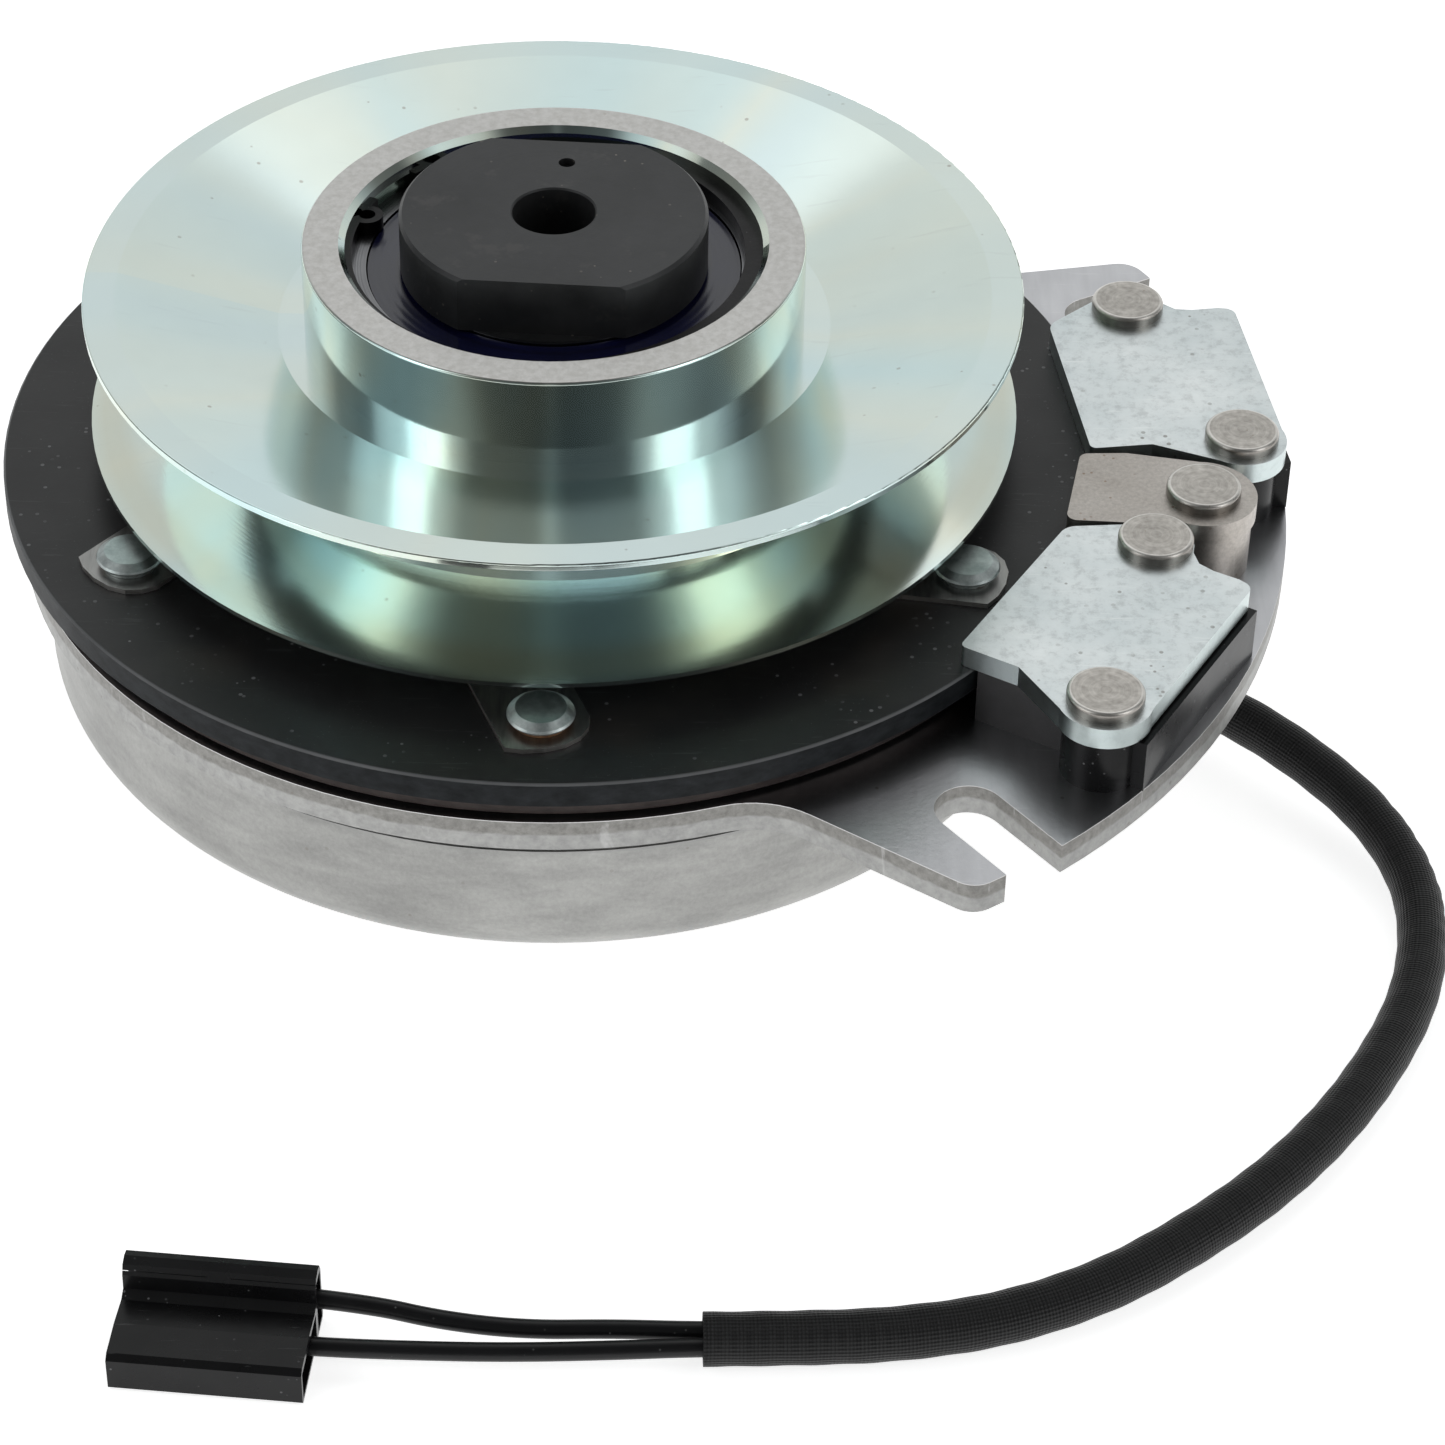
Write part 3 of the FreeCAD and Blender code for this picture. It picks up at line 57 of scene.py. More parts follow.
def make_camera():
    """A long lens from the front, looking down at the clutch."""
    look = Vector((0.0, math.cos(CAMERA_PITCH), -math.sin(CAMERA_PITCH)))
    level = Vector((1.0, 0.0, 0.0))
    above = level.cross(look)
    right = level * math.cos(CAMERA_ROLL) + above * math.sin(CAMERA_ROLL)
    up = above * math.cos(CAMERA_ROLL) - level * math.sin(CAMERA_ROLL)
    data = bpy.data.cameras.new("camera")
    data.sensor_width = SENSOR_WIDTH
    data.lens = CAMERA_LENS
    data.clip_start = 0.05
    data.clip_end = 20.0
    camera = bpy.data.objects.new("camera", data)
    turn = Matrix((right, up, -look)).transposed().to_4x4()
    camera.matrix_world = Matrix.Translation(CAMERA_PLACE) @ turn
    scene.collection.objects.link(camera)
    scene.camera = camera


make_camera()


# ---------------------------------------------------------------- node helpers

def set_stops(band, stops):
    """Colours at positions along a ramp."""
    while len(band.elements) < len(stops):
        band.elements.new(0.5)
    for element, (position, colour) in zip(band.elements, stops):
        element.position = position
        element.color = (*colour, 1.0)


def colour_sockets(sockets):
    """A mix node also has sockets for numbers and vectors: these are its colour ones."""
    return [socket for socket in sockets if socket.type == "RGBA"]


class Shader:
    """A material's node tree with short ways to add the usual nodes."""

    def __init__(self, name):
        self.material = bpy.data.materials.new(name)
        self.material.use_nodes = True
        self.tree = self.material.node_tree
        self.surface = self.tree.nodes["Principled BSDF"]
        coords = self.tree.nodes.new("ShaderNodeTexCoord")
        self.place = coords.outputs["Object"]
        self.uv = coords.outputs["UV"]
        geometry = self.tree.nodes.new("ShaderNodeNewGeometry")
        self.normal = geometry.outputs["Normal"]

    def put(self, socket, value):
        if isinstance(value, bpy.types.NodeSocket):
            self.tree.links.new(value, socket)
        else:
            socket.default_value = value

    def set(self, **values):
        for name, value in values.items():
            self.put(self.surface.inputs[name.replace("_", " ")], value)
        return self

    def math(self, kind, a, b=0.0, clamp=False):
        node = self.tree.nodes.new("ShaderNodeMath")
        node.operation = kind
        node.use_clamp = clamp
        self.put(node.inputs[0], a)
        self.put(node.inputs[1], b)
        return node.outputs[0]

    def split(self, vector):
        node = self.tree.nodes.new("ShaderNodeSeparateXYZ")
        self.put(node.inputs[0], vector)
        return node.outputs[0], node.outputs[1], node.outputs[2]

    def join(self, x, y, z):
        node = self.tree.nodes.new("ShaderNodeCombineXYZ")
        for socket, value in zip(node.inputs, (x, y, z)):
            self.put(socket, value)
        return node.outputs[0]

    def stretch(self, vector, scale, shift=(0.0, 0.0, 0.0), turn=0.0):
        node = self.tree.nodes.new("ShaderNodeMapping")
        self.put(node.inputs["Vector"], vector)
        node.inputs["Location"].default_value = shift
        node.inputs["Rotation"].default_value = (0.0, 0.0, turn)
        node.inputs["Scale"].default_value = scale
        return node.outputs[0]

    def noise(self, scale, detail=3.0, rough=0.5, vector=None, distort=0.0):
        node = self.tree.nodes.new("ShaderNodeTexNoise")
        self.put(node.inputs["Vector"], self.place if vector is None else vector)
        node.inputs["Scale"].default_value = scale
        node.inputs["Detail"].default_value = detail
        node.inputs["Roughness"].default_value = rough
        node.inputs["Distortion"].default_value = distort
        return node.outputs["Fac"]

    def cells(self, scale, vector=None):
        node = self.tree.nodes.new("ShaderNodeTexVoronoi")
        self.put(node.inputs["Vector"], self.place if vector is None else vector)
        node.inputs["Scale"].default_value = scale
        return node.outputs["Distance"]

    def ramp(self, value, stops):
        """Colours or greys at positions along a value."""
        node = self.tree.nodes.new("ShaderNodeValToRGB")
        self.put(node.inputs["Fac"], value)
        set_stops(node.color_ramp, [
            (position, colour if isinstance(colour, tuple) else (colour, colour, colour))
            for position, colour in stops])
        return node.outputs["Color"]

    def blend(self, factor, a, b, kind="MIX"):
        node = self.tree.nodes.new("ShaderNodeMix")
        node.data_type = "RGBA"
        node.blend_type = kind
        self.put(node.inputs["Factor"], factor)
        for socket, value in zip(colour_sockets(node.inputs), (a, b)):
            self.put(socket, (*value, 1.0) if isinstance(value, tuple) else value)
        return colour_sockets(node.outputs)[0]

    def bump(self, height, depth, strength=1.0, onto=None):
        """Surface relief, depth in metres."""
        node = self.tree.nodes.new("ShaderNodeBump")
        node.inputs["Strength"].default_value = strength
        node.inputs["Distance"].default_value = depth
        self.put(node.inputs["Height"], height)
        if onto is not None:
            self.put(node.inputs["Normal"], onto)
        return node.outputs["Normal"]

    def radius(self, centre=(0.0, 0.0)):
        """Distance from an upright axis through centre."""
        x, y, _ = self.split(self.stretch(self.place, (1, 1, 1), (-centre[0], -centre[1], 0)))
        square = self.math("ADD", self.math("MULTIPLY", x, x), self.math("MULTIPLY", y, y))
        return self.math("SQRT", square)

    def height(self):
        return self.split(self.place)[2]

    def azimuth(self):
        x, y, _ = self.split(self.place)
        return self.math("ARCTAN2", y, x)

    def above(self, value, edge, soft=0.0001):
        """0 below the edge, 1 above it, over a soft width."""
        return self.math("DIVIDE", self.math("SUBTRACT", value, edge), soft, clamp=True)

    def between(self, value, low, high, soft=0.0001):
        return self.math("MULTIPLY", self.above(value, low, soft),
                         self.math("SUBTRACT", 1.0, self.above(value, high, soft)))

    def facing_up(self, soft=0.5, edge=0.4):
        """1 on surfaces that face up."""
        return self.above(self.split(self.normal)[2], edge, soft)

    def tangent_round(self):
        node = self.tree.nodes.new("ShaderNodeTangent")
        node.direction_type = "RADIAL"
        node.axis = "Z"
        return node.outputs[0]


def turned_marks(shader, fineness, centre=(0.0, 0.0)):
    """Fine rings left by a lathe about an upright axis."""
    rings = shader.join(shader.radius(centre), shader.height(), 0.0)
    return shader.noise(fineness, 2.0, 0.6, rings)


def specks(shader, scale, size, vector=None):
    """Sparse dust: 1 on the specks."""
    near = shader.math("SUBTRACT", size, shader.cells(scale, vector))
    patchy = shader.above(shader.noise(scale * 0.21, 2.0), 0.52, 0.1)
    return shader.math("MULTIPLY", shader.math("MULTIPLY", near, 30.0, clamp=True), patchy)


def scratches(shader, scale, turn, amount=0.5):
    """Long thin marks in one direction."""
    lines = shader.stretch(shader.place, (1.0, 14.0, 1.0), turn=turn)
    fine = shader.noise(scale, 4.0, 0.6, lines, 0.4)
    return shader.above(fine, 0.70 - 0.1 * amount, 0.05)


# ---------------------------------------------------------------- materials

# Heights and radii at which a look changes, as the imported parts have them.
SHELL_LINE = (0.0232, 0.0240)
SHELL_SHADE_HEIGHT = 0.0243
FLANGE_SHEAR_HEIGHT = 0.0286
FLANGE_ARRIS_HEIGHT = 0.03012
ARMATURE_ARRIS_HEIGHT = 0.03868
ARMATURE_RIM_RADIUS = 0.0834
RIVET_FOOT_HEIGHT = 0.0409
RIVET_BEVEL_RADIUS = 0.0036
STRAW_BAND = (0.0455, 0.0475)
STRAW_RADIUS = 0.062
STRAW_REFLECTION_TOP = 0.0530
COLLAR_FACE_HEIGHT = 0.0740
PIN_HIGHLIGHT_RIM = (0.0049, 0.00535)
PIN_CENTRE_RADIUS = 0.0007
PIN_DISH_RADIUS = 0.0030
SEAL_LIP = (0.0226, 0.0234)


def zinc_turned(name):
    """Zinc plated and turned: pale blue-green with patches of straw and lilac in vertical bands
    round the axis, partly plating tint and partly painted tinted reflections, and a painted pale
    straw reflection low on the front right side.
    """
    m = Shader(name)
    # Tint in vertical bands round the axis: partly the plating's own tint, partly painted tinted
    # reflections.
    around = m.join(m.math("MULTIPLY", m.azimuth(), 0.9), m.math("MULTIPLY", m.height(), 9.0), 0.0)
    tint_and_reflection_bands = m.noise(1.35, 2.0, 0.45, around, 0.3)
    colour = m.ramp(tint_and_reflection_bands, [
        (0.22, (0.58, 0.75, 0.79)), (0.38, (0.62, 0.80, 0.80)), (0.5, (0.76, 0.82, 0.72)),
        (0.6, (0.66, 0.79, 0.77)), (0.72, (0.58, 0.73, 0.80)), (0.86, (0.74, 0.74, 0.79))])
    # Low on the front right side: a painted pale straw reflection.
    straw_reflection_side = m.math("MULTIPLY", m.between(m.azimuth(), -1.32, -0.80, 0.16),
                        m.math("SUBTRACT", 1.0, m.above(m.height(), STRAW_REFLECTION_TOP, 0.002)))
    colour = m.blend(m.math("MULTIPLY", straw_reflection_side, 0.7), colour, (0.80, 0.83, 0.66))
    mottle = m.ramp(m.noise(60.0, 4.0, 0.6), [(0.3, 0.90), (0.7, 1.0)])
    colour = m.blend(0.6, colour, mottle, "MULTIPLY")
    flat = m.facing_up(0.2, 0.9)
    bright = m.ramp(m.noise(26.0, 3.0), [(0.3, (0.64, 0.74, 0.76)), (0.7, (0.72, 0.79, 0.79))])
    colour = m.blend(m.math("MULTIPLY", flat, 0.88), colour, bright)
    bare = m.math("MULTIPLY", m.above(m.height(), COLLAR_FACE_HEIGHT), m.facing_up(0.2, 0.7))
    grain = m.ramp(m.noise(900.0, 3.0, 0.7),
                   [(0.35, (0.50, 0.49, 0.47)), (0.65, (0.60, 0.59, 0.575))])
    colour = m.blend(bare, colour, grain)
    straw = m.math("MULTIPLY", m.between(m.height(), *STRAW_BAND, 0.001),
                   m.above(m.radius(), STRAW_RADIUS, 0.004))
    colour = m.blend(m.math("MULTIPLY", straw, 0.35), colour, (0.62, 0.56, 0.40))
    marks = m.blend(1.0, scratches(m, 70.0, 0.6), scratches(m, 90.0, 2.1), "ADD")
    colour = m.blend(m.math("MULTIPLY", marks, 0.10), colour, (0.45, 0.48, 0.48))
    spots = specks(m, 260.0, 0.10)
    colour = m.blend(m.math("MULTIPLY", spots, 0.55), colour, (0.34, 0.31, 0.27))
    rings = turned_marks(m, 2600.0)
    rough = m.math("ADD", m.math("MULTIPLY", flat, 0.09), 0.07)
    rough = m.math("ADD", rough, m.math("MULTIPLY", m.noise(35.0, 3.0), 0.07))
    rough = m.math("ADD", rough, m.math("MULTIPLY", bare, 0.20))
    m.set(Base_Color=colour, Metallic=1.0, Roughness=rough, Anisotropic=0.4,
          Tangent=m.tangent_round(), Normal=m.bump(rings, 0.000012, 0.3))
    return m.material


def zinc_sheet(name, turn):
    """Zinc plated stampings: soft sheen, rubbed scratches and small dark pits."""
    m = Shader(name)
    colour = m.ramp(m.noise(48.0, 4.0, 0.6),
                    [(0.3, (0.62, 0.68, 0.69)), (0.7, (0.82, 0.86, 0.86))])
    grit = m.ramp(m.noise(520.0, 4.0, 0.75), [(0.34, 0.72), (0.5, 0.95), (0.66, 1.0)])
    colour = m.blend(0.75, colour, grit, "MULTIPLY")
    rub = m.blend(1.0, scratches(m, 110.0, turn), scratches(m, 60.0, turn + 1.3), "ADD")
    colour = m.blend(m.math("MULTIPLY", rub, 0.35), colour, (0.90, 0.93, 0.92))
    pits = specks(m, 420.0, 0.16)
    colour = m.blend(m.math("MULTIPLY", pits, 0.7), colour, (0.22, 0.21, 0.19))
    side = m.math("SUBTRACT", 1.0, m.facing_up(0.3, 0.3))
    colour = m.blend(m.math("MULTIPLY", side, 0.5), colour, (0.50, 0.60, 0.59))
    rough = m.math("ADD", m.math("MULTIPLY", m.noise(90.0, 4.0), 0.22), 0.22)
    m.set(Base_Color=colour, Metallic=1.0, Roughness=rough,
          Normal=m.bump(m.noise(700.0, 3.0, 0.6), 0.00004, 0.35))
    return m.material


def pressed_steel(name):
    """Field shell: drawn steel, fine cast-like grain and faint bands round it."""
    m = Shader(name)
    bands = m.join(m.math("MULTIPLY", m.azimuth(), 0.02), 0.0, m.height())
    streak = m.noise(260.0, 3.0, 0.6, bands)
    colour = m.ramp(streak, [(0.3, (0.35, 0.35, 0.34)), (0.7, (0.47, 0.47, 0.455))])
    grain = m.ramp(m.noise(1300.0, 4.0, 0.75), [(0.3, 0.78), (0.7, 1.0)])
    colour = m.blend(0.8, colour, grain, "MULTIPLY")
    cloud = m.ramp(m.noise(22.0, 3.0), [(0.35, 0.84), (0.65, 1.0)])
    colour = m.blend(0.7, colour, cloud, "MULTIPLY")
    wave = m.math("MULTIPLY", m.noise(9.0, 2.0), 0.0022)
    line = m.between(m.math("ADD", m.height(), wave), *SHELL_LINE, 0.0003)
    colour = m.blend(m.math("MULTIPLY", line, 0.45), colour, (0.30, 0.30, 0.30))
    # Painted shade: a darker band at the top of the shell, just under the flange.
    painted_rim_tone = m.above(m.height(), SHELL_SHADE_HEIGHT, 0.0007)
    colour = m.blend(m.math("MULTIPLY", painted_rim_tone, 0.35), colour, (0.34, 0.34, 0.34))
    pits = specks(m, 330.0, 0.11)
    colour = m.blend(m.math("MULTIPLY", pits, 0.5), colour, (0.22, 0.20, 0.18))
    rough = m.math("ADD", m.math("MULTIPLY", m.noise(70.0, 3.0), 0.16), 0.30)
    relief = m.bump(m.noise(1500.0, 4.0, 0.7), 0.00006, 0.5)
    m.set(Base_Color=colour, Metallic=1.0, Roughness=rough, Anisotropic=0.35,
          Tangent=m.tangent_round(), Normal=m.bump(streak, 0.00015, 0.25, relief))
    return m.material


def flange_steel(name):
    """Mounting flange: smooth rolled face, sheared edge darker in its upper half."""
    m = Shader(name)
    face = m.ramp(m.noise(40.0, 3.0), [(0.3, (0.50, 0.50, 0.52)), (0.7, (0.63, 0.63, 0.65))])
    drawn = m.noise(700.0, 3.0, 0.6, m.stretch(m.place, (1.0, 0.12, 1.0), turn=0.6))
    face = m.blend(0.4, face, m.ramp(drawn, [(0.3, 0.82), (0.7, 1.0)]), "MULTIPLY")
    wander = m.math("MULTIPLY", m.noise(160.0, 4.0, 0.6), 0.0016)
    split = m.above(m.math("ADD", m.height(), wander), FLANGE_SHEAR_HEIGHT, 0.0004)
    sheared = m.ramp(m.noise(900.0, 4.0, 0.7),
                     [(0.3, (0.20, 0.195, 0.185)), (0.7, (0.32, 0.315, 0.30))])
    cut = m.ramp(m.noise(600.0, 3.0, 0.7), [(0.3, (0.31, 0.31, 0.305)), (0.7, (0.43, 0.43, 0.42))])
    edge = m.blend(split, cut, sheared)
    side = m.math("SUBTRACT", 1.0, m.facing_up(0.3, 0.3))
    colour = m.blend(side, face, edge)
    # A pale line along the top of the edge: a painted highlight.
    arris = m.math("MULTIPLY", m.above(m.height(), FLANGE_ARRIS_HEIGHT), side)
    colour = m.blend(m.math("MULTIPLY", arris, 0.7), colour, (0.86, 0.86, 0.86))
    rub = scratches(m, 80.0, 0.9)
    colour = m.blend(m.math("MULTIPLY", rub, 0.2), colour, (0.85, 0.85, 0.85))
    pits = specks(m, 300.0, 0.10)
    colour = m.blend(m.math("MULTIPLY", pits, 0.5), colour, (0.20, 0.18, 0.16))
    rough = m.math("ADD", m.math("MULTIPLY", side, 0.14), 0.24)
    rough = m.math("ADD", rough, m.math("MULTIPLY", m.noise(60.0, 3.0), 0.12))
    relief = m.bump(m.noise(1200.0, 4.0, 0.7), 0.00006, 0.4)
    m.set(Base_Color=colour, Metallic=1.0, Roughness=rough, Normal=relief)
    return m.material


def armature_black(name):
    """Black phosphated disc: dusty, a grey worn edge, and a bright arris that is a painted
    highlight line, brighter where worn.
    """
    m = Shader(name)
    face = m.ramp(m.noise(34.0, 4.0, 0.6),
                  [(0.3, (0.008, 0.008, 0.009)), (0.7, (0.020, 0.0195, 0.020))])
    dust = specks(m, 520.0, 0.17)
    face = m.blend(m.math("MULTIPLY", dust, 0.6), face, (0.26, 0.26, 0.27))
    rubs = m.blend(1.0, scratches(m, 90.0, 0.8), scratches(m, 130.0, 2.3), "ADD")
    face = m.blend(m.math("MULTIPLY", rubs, 0.10), face, (0.20, 0.20, 0.21))
    dust_fine = specks(m, 1500.0, 0.16)
    face = m.blend(m.math("MULTIPLY", dust_fine, 0.25), face, (0.16, 0.16, 0.17))
    stain = m.above(m.noise(17.0, 3.0, 0.6), 0.60, 0.06)
    face = m.blend(m.math("MULTIPLY", stain, 0.5), face, (0.040, 0.034, 0.028))
    outward = m.above(m.radius(), ARMATURE_RIM_RADIUS, 0.0002)
    around = m.join(m.math("MULTIPLY", m.azimuth(), 0.05), m.height(), 0.0)
    scuffs = m.noise(420.0, 4.0, 0.65, around)
    edge = m.ramp(scuffs, [(0.3, (0.008, 0.009, 0.010)), (0.75, (0.026, 0.029, 0.032))])
    colour = m.blend(outward, face, edge)
    # Bright line along the top of the rim: a painted highlight, brighter in worn patches.
    worn = m.noise(60.0, 3.0, 0.7)
    arris = m.math("MULTIPLY", outward, m.above(m.height(), ARMATURE_ARRIS_HEIGHT))
    arris = m.math("MULTIPLY", arris, m.math("ADD", m.math("MULTIPLY", worn, 0.6), 0.25))
    colour = m.blend(arris, colour, (0.24, 0.245, 0.25))
    rough = m.math("ADD", m.math("MULTIPLY", m.noise(80.0, 4.0), 0.18), 0.34)
    gleam = m.math("SUBTRACT", 0.42, m.math("MULTIPLY", outward, 0.34))
    m.set(Base_Color=colour, Metallic=0.0, Roughness=rough, Specular_IOR_Level=gleam,
          Normal=m.bump(m.noise(900.0, 4.0, 0.7), 0.00005, 0.4))
    return m.material


def hub_black(name):
    """Black oxide on turned steel, with pale dust and a brownish rub on the edges."""
    m = Shader(name)
    colour = m.ramp(m.noise(70.0, 4.0, 0.65),
                    [(0.3, (0.028, 0.029, 0.030)), (0.7, (0.052, 0.053, 0.055))])
    rub = m.above(m.noise(120.0, 4.0, 0.7), 0.60, 0.08)
    colour = m.blend(m.math("MULTIPLY", rub, 0.35), colour, (0.085, 0.080, 0.078))
    dust = specks(m, 480.0, 0.12)
    colour = m.blend(m.math("MULTIPLY", dust, 0.45), colour, (0.34, 0.30, 0.26))
    rings = turned_marks(m, 3000.0)
    rough = m.math("ADD", m.math("MULTIPLY", m.noise(140.0, 4.0), 0.2), 0.30)
    m.set(Base_Color=colour, Metallic=0.55, Roughness=rough, Specular_IOR_Level=0.5,
          Normal=m.bump(rings, 0.00003, 0.35, m.bump(m.noise(1600.0, 3.0, 0.7), 0.00003, 0.4)))
    return m.material


def spring_steel(name):
    """Rolled spring strip: grey with fine grain and darker blued patches; its sides painted pale,
    partly worn bare metal and partly a painted highlight.
    """
    m = Shader(name)
    drawn = m.noise(900.0, 3.0, 0.6, m.stretch(m.place, (1.0, 0.1, 1.0)))
    colour = m.ramp(drawn, [(0.3, (0.30, 0.295, 0.29)), (0.7, (0.48, 0.47, 0.46))])
    blued = m.ramp(m.noise(55.0, 3.0), [(0.35, 0.70), (0.65, 1.0)])
    colour = m.blend(0.8, colour, blued, "MULTIPLY")
    pits = specks(m, 600.0, 0.12)
    colour = m.blend(m.math("MULTIPLY", pits, 0.6), colour, (0.14, 0.10, 0.07))
    # Sides painted pale: partly worn bare metal, partly a painted highlight.
    side = m.math("SUBTRACT", 1.0, m.facing_up(0.3, 0.3))
    colour = m.blend(m.math("MULTIPLY", side, 0.8), colour, (0.80, 0.77, 0.74))
    m.set(Base_Color=colour, Metallic=1.0, Normal=m.bump(drawn, 0.00003, 0.3),
          Roughness=m.math("ADD", m.math("MULTIPLY", drawn, 0.2), 0.28))
    return m.material


def middle_of(node):
    """Where a node's own upright axis stands."""
    low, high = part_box(node)
    return (low[0] + high[0]) / 2, (low[1] + high[1]) / 2


def turned_pin(name, node):
    """Warm turned rivet steel with rings about its own centre, a painted highlight ring at its
    rolled edge and painted shade on the sides of the head.
    """
    m = Shader(name)
    centre = middle_of(node)
    rings = turned_marks(m, 5200.0, centre)
    tone = m.math("ADD", m.math("MULTIPLY", rings, 0.35), m.math("MULTIPLY", m.noise(900.0), 0.65))
    colour = m.ramp(tone, [(0.35, (0.40, 0.375, 0.345)), (0.65, (0.62, 0.59, 0.55))])
    dull = m.ramp(m.noise(260.0, 4.0, 0.65), [(0.3, 0.74), (0.7, 1.0)])
    colour = m.blend(0.8, colour, dull, "MULTIPLY")
    out = m.radius(centre)
    # A pale ring at the rolled edge: a painted highlight.
    painted_rim_tone = m.between(out, *PIN_HIGHLIGHT_RIM, 0.0002)
    colour = m.blend(m.math("MULTIPLY", painted_rim_tone, 0.55), colour, (0.86, 0.84, 0.80))
    middle = m.math("SUBTRACT", 1.0, m.above(out, PIN_CENTRE_RADIUS, 0.0004))
    colour = m.blend(m.math("MULTIPLY", middle, 0.2), colour, (0.26, 0.24, 0.22))
    # The sides of the head painted darker: painted shade.
    flank_shade = m.math("SUBTRACT", 1.0, m.facing_up(0.25, 0.35))
    colour = m.blend(m.math("MULTIPLY", flank_shade, 0.55), colour, (0.22, 0.205, 0.19))
    spots = specks(m, 900.0, 0.14)
    colour = m.blend(m.math("MULTIPLY", spots, 0.5), colour, (0.24, 0.19, 0.14))
    dip = m.above(out, PIN_DISH_RADIUS, 0.0018)
    relief = m.bump(rings, 0.000015, 0.4, m.bump(dip, 0.00012, 0.5))
    m.set(Base_Color=colour, Metallic=1.0, Normal=relief,
          Roughness=m.math("ADD", m.math("MULTIPLY", m.noise(220.0, 3.0), 0.18), 0.24))
    return m.material


def zinc_rivet(name, node, rust=0.0):
    """Plated rivet head: dull teal crown, bright bevel and rust where it meets the strap."""
    m = Shader(name)
    crown = m.ramp(m.noise(420.0, 4.0, 0.65),
                   [(0.3, (0.34, 0.40, 0.40)), (0.7, (0.60, 0.67, 0.66))])
    bevel = m.above(m.radius(middle_of(node)), RIVET_BEVEL_RADIUS, 0.0003)
    bright = m.ramp(m.noise(700.0, 4.0, 0.7),
                    [(0.3, (0.36, 0.41, 0.41)), (0.7, (0.62, 0.67, 0.66))])
    colour = m.blend(bevel, crown, bright)
    base = m.math("SUBTRACT", 1.0, m.above(m.height(), RIVET_FOOT_HEIGHT, 0.0004))
    brown = m.ramp(m.noise(700.0, 4.0, 0.7),
                   [(0.35, (0.10, 0.045, 0.02)), (0.65, (0.28, 0.15, 0.07))])
    reach = m.math("MULTIPLY", base, m.above(m.noise(240.0, 3.0, 0.6), 0.62 - 0.35 * rust, 0.08))
    colour = m.blend(reach, colour, brown)
    rough = m.math("ADD", m.math("MULTIPLY", reach, 0.30), 0.42)
    m.set(Base_Color=colour, Metallic=m.math("SUBTRACT", 1.0, m.math("MULTIPLY", reach, 0.8)),
          Roughness=rough, Normal=m.bump(m.noise(1300.0, 4.0, 0.7), 0.00006, 0.5))
    return m.material


def brown_nickel(name):
    """Stop plate and spacer: warm grey plated steel, fine speckle and rubbed rust spots."""
    m = Shader(name)
    colour = m.ramp(m.noise(60.0, 4.0, 0.6),
                    [(0.3, (0.44, 0.405, 0.37)), (0.7, (0.62, 0.585, 0.55))])
    grain = m.ramp(m.noise(1500.0, 3.0, 0.75), [(0.35, 0.72), (0.65, 1.0)])
    colour = m.blend(0.7, colour, grain, "MULTIPLY")
    rub = scratches(m, 100.0, 0.4)
    colour = m.blend(m.math("MULTIPLY", rub, 0.25), colour, (0.72, 0.70, 0.67))
    spots = specks(m, 500.0, 0.13)
    colour = m.blend(m.math("MULTIPLY", spots, 0.6), colour, (0.20, 0.12, 0.07))
    m.set(Base_Color=colour, Metallic=1.0,
          Roughness=m.math("ADD", m.math("MULTIPLY", m.noise(120.0, 4.0), 0.2), 0.30),
          Normal=m.bump(m.noise(1400.0, 4.0, 0.7), 0.00005, 0.4))
    return m.material


def black_moulding(name, gloss=0.20):
    """Glossy black moulded plastic with a few grey scuffs and moulding ripple."""
    m = Shader(name)
    colour = m.ramp(m.noise(90.0, 3.0),
                    [(0.3, (0.005, 0.005, 0.0055)), (0.7, (0.011, 0.011, 0.0115))])
    scuff = m.blend(1.0, scratches(m, 150.0, 1.1, 0.3), scratches(m, 120.0, 2.5, 0.3), "ADD")
    colour = m.blend(m.math("MULTIPLY", scuff, 0.12), colour, (0.30, 0.30, 0.31))
    dust = specks(m, 700.0, 0.13)
    colour = m.blend(m.math("MULTIPLY", dust, 0.5), colour, (0.30, 0.30, 0.31))
    rough = m.math("ADD", m.math("MULTIPLY", m.noise(160.0, 3.0), 0.12), gloss)
    m.set(Base_Color=colour, Metallic=0.0, Roughness=rough, Specular_IOR_Level=0.22,
          Normal=m.bump(m.noise(160.0, 2.0), 0.00025, 0.25))
    return m.material


def plain_black(name, colour, rough, scale=900.0, metallic=0.0):
    """Rubber, varnish and wire insulation: near black with fine grain."""
    m = Shader(name)
    dark = tuple(c * 0.7 for c in colour)
    tone = m.ramp(m.noise(130.0, 4.0, 0.6), [(0.3, dark), (0.7, colour)])
    dust = specks(m, 800.0, 0.13)
    tone = m.blend(m.math("MULTIPLY", dust, 0.4), tone, (0.22, 0.22, 0.22))
    m.set(Base_Color=tone, Metallic=metallic, Specular_IOR_Level=0.3,
          Normal=m.bump(m.noise(scale, 4.0, 0.7), 0.00006, 0.5),
          Roughness=m.math("ADD", m.math("MULTIPLY", m.noise(300.0, 3.0), 0.14), rough))
    return m.material


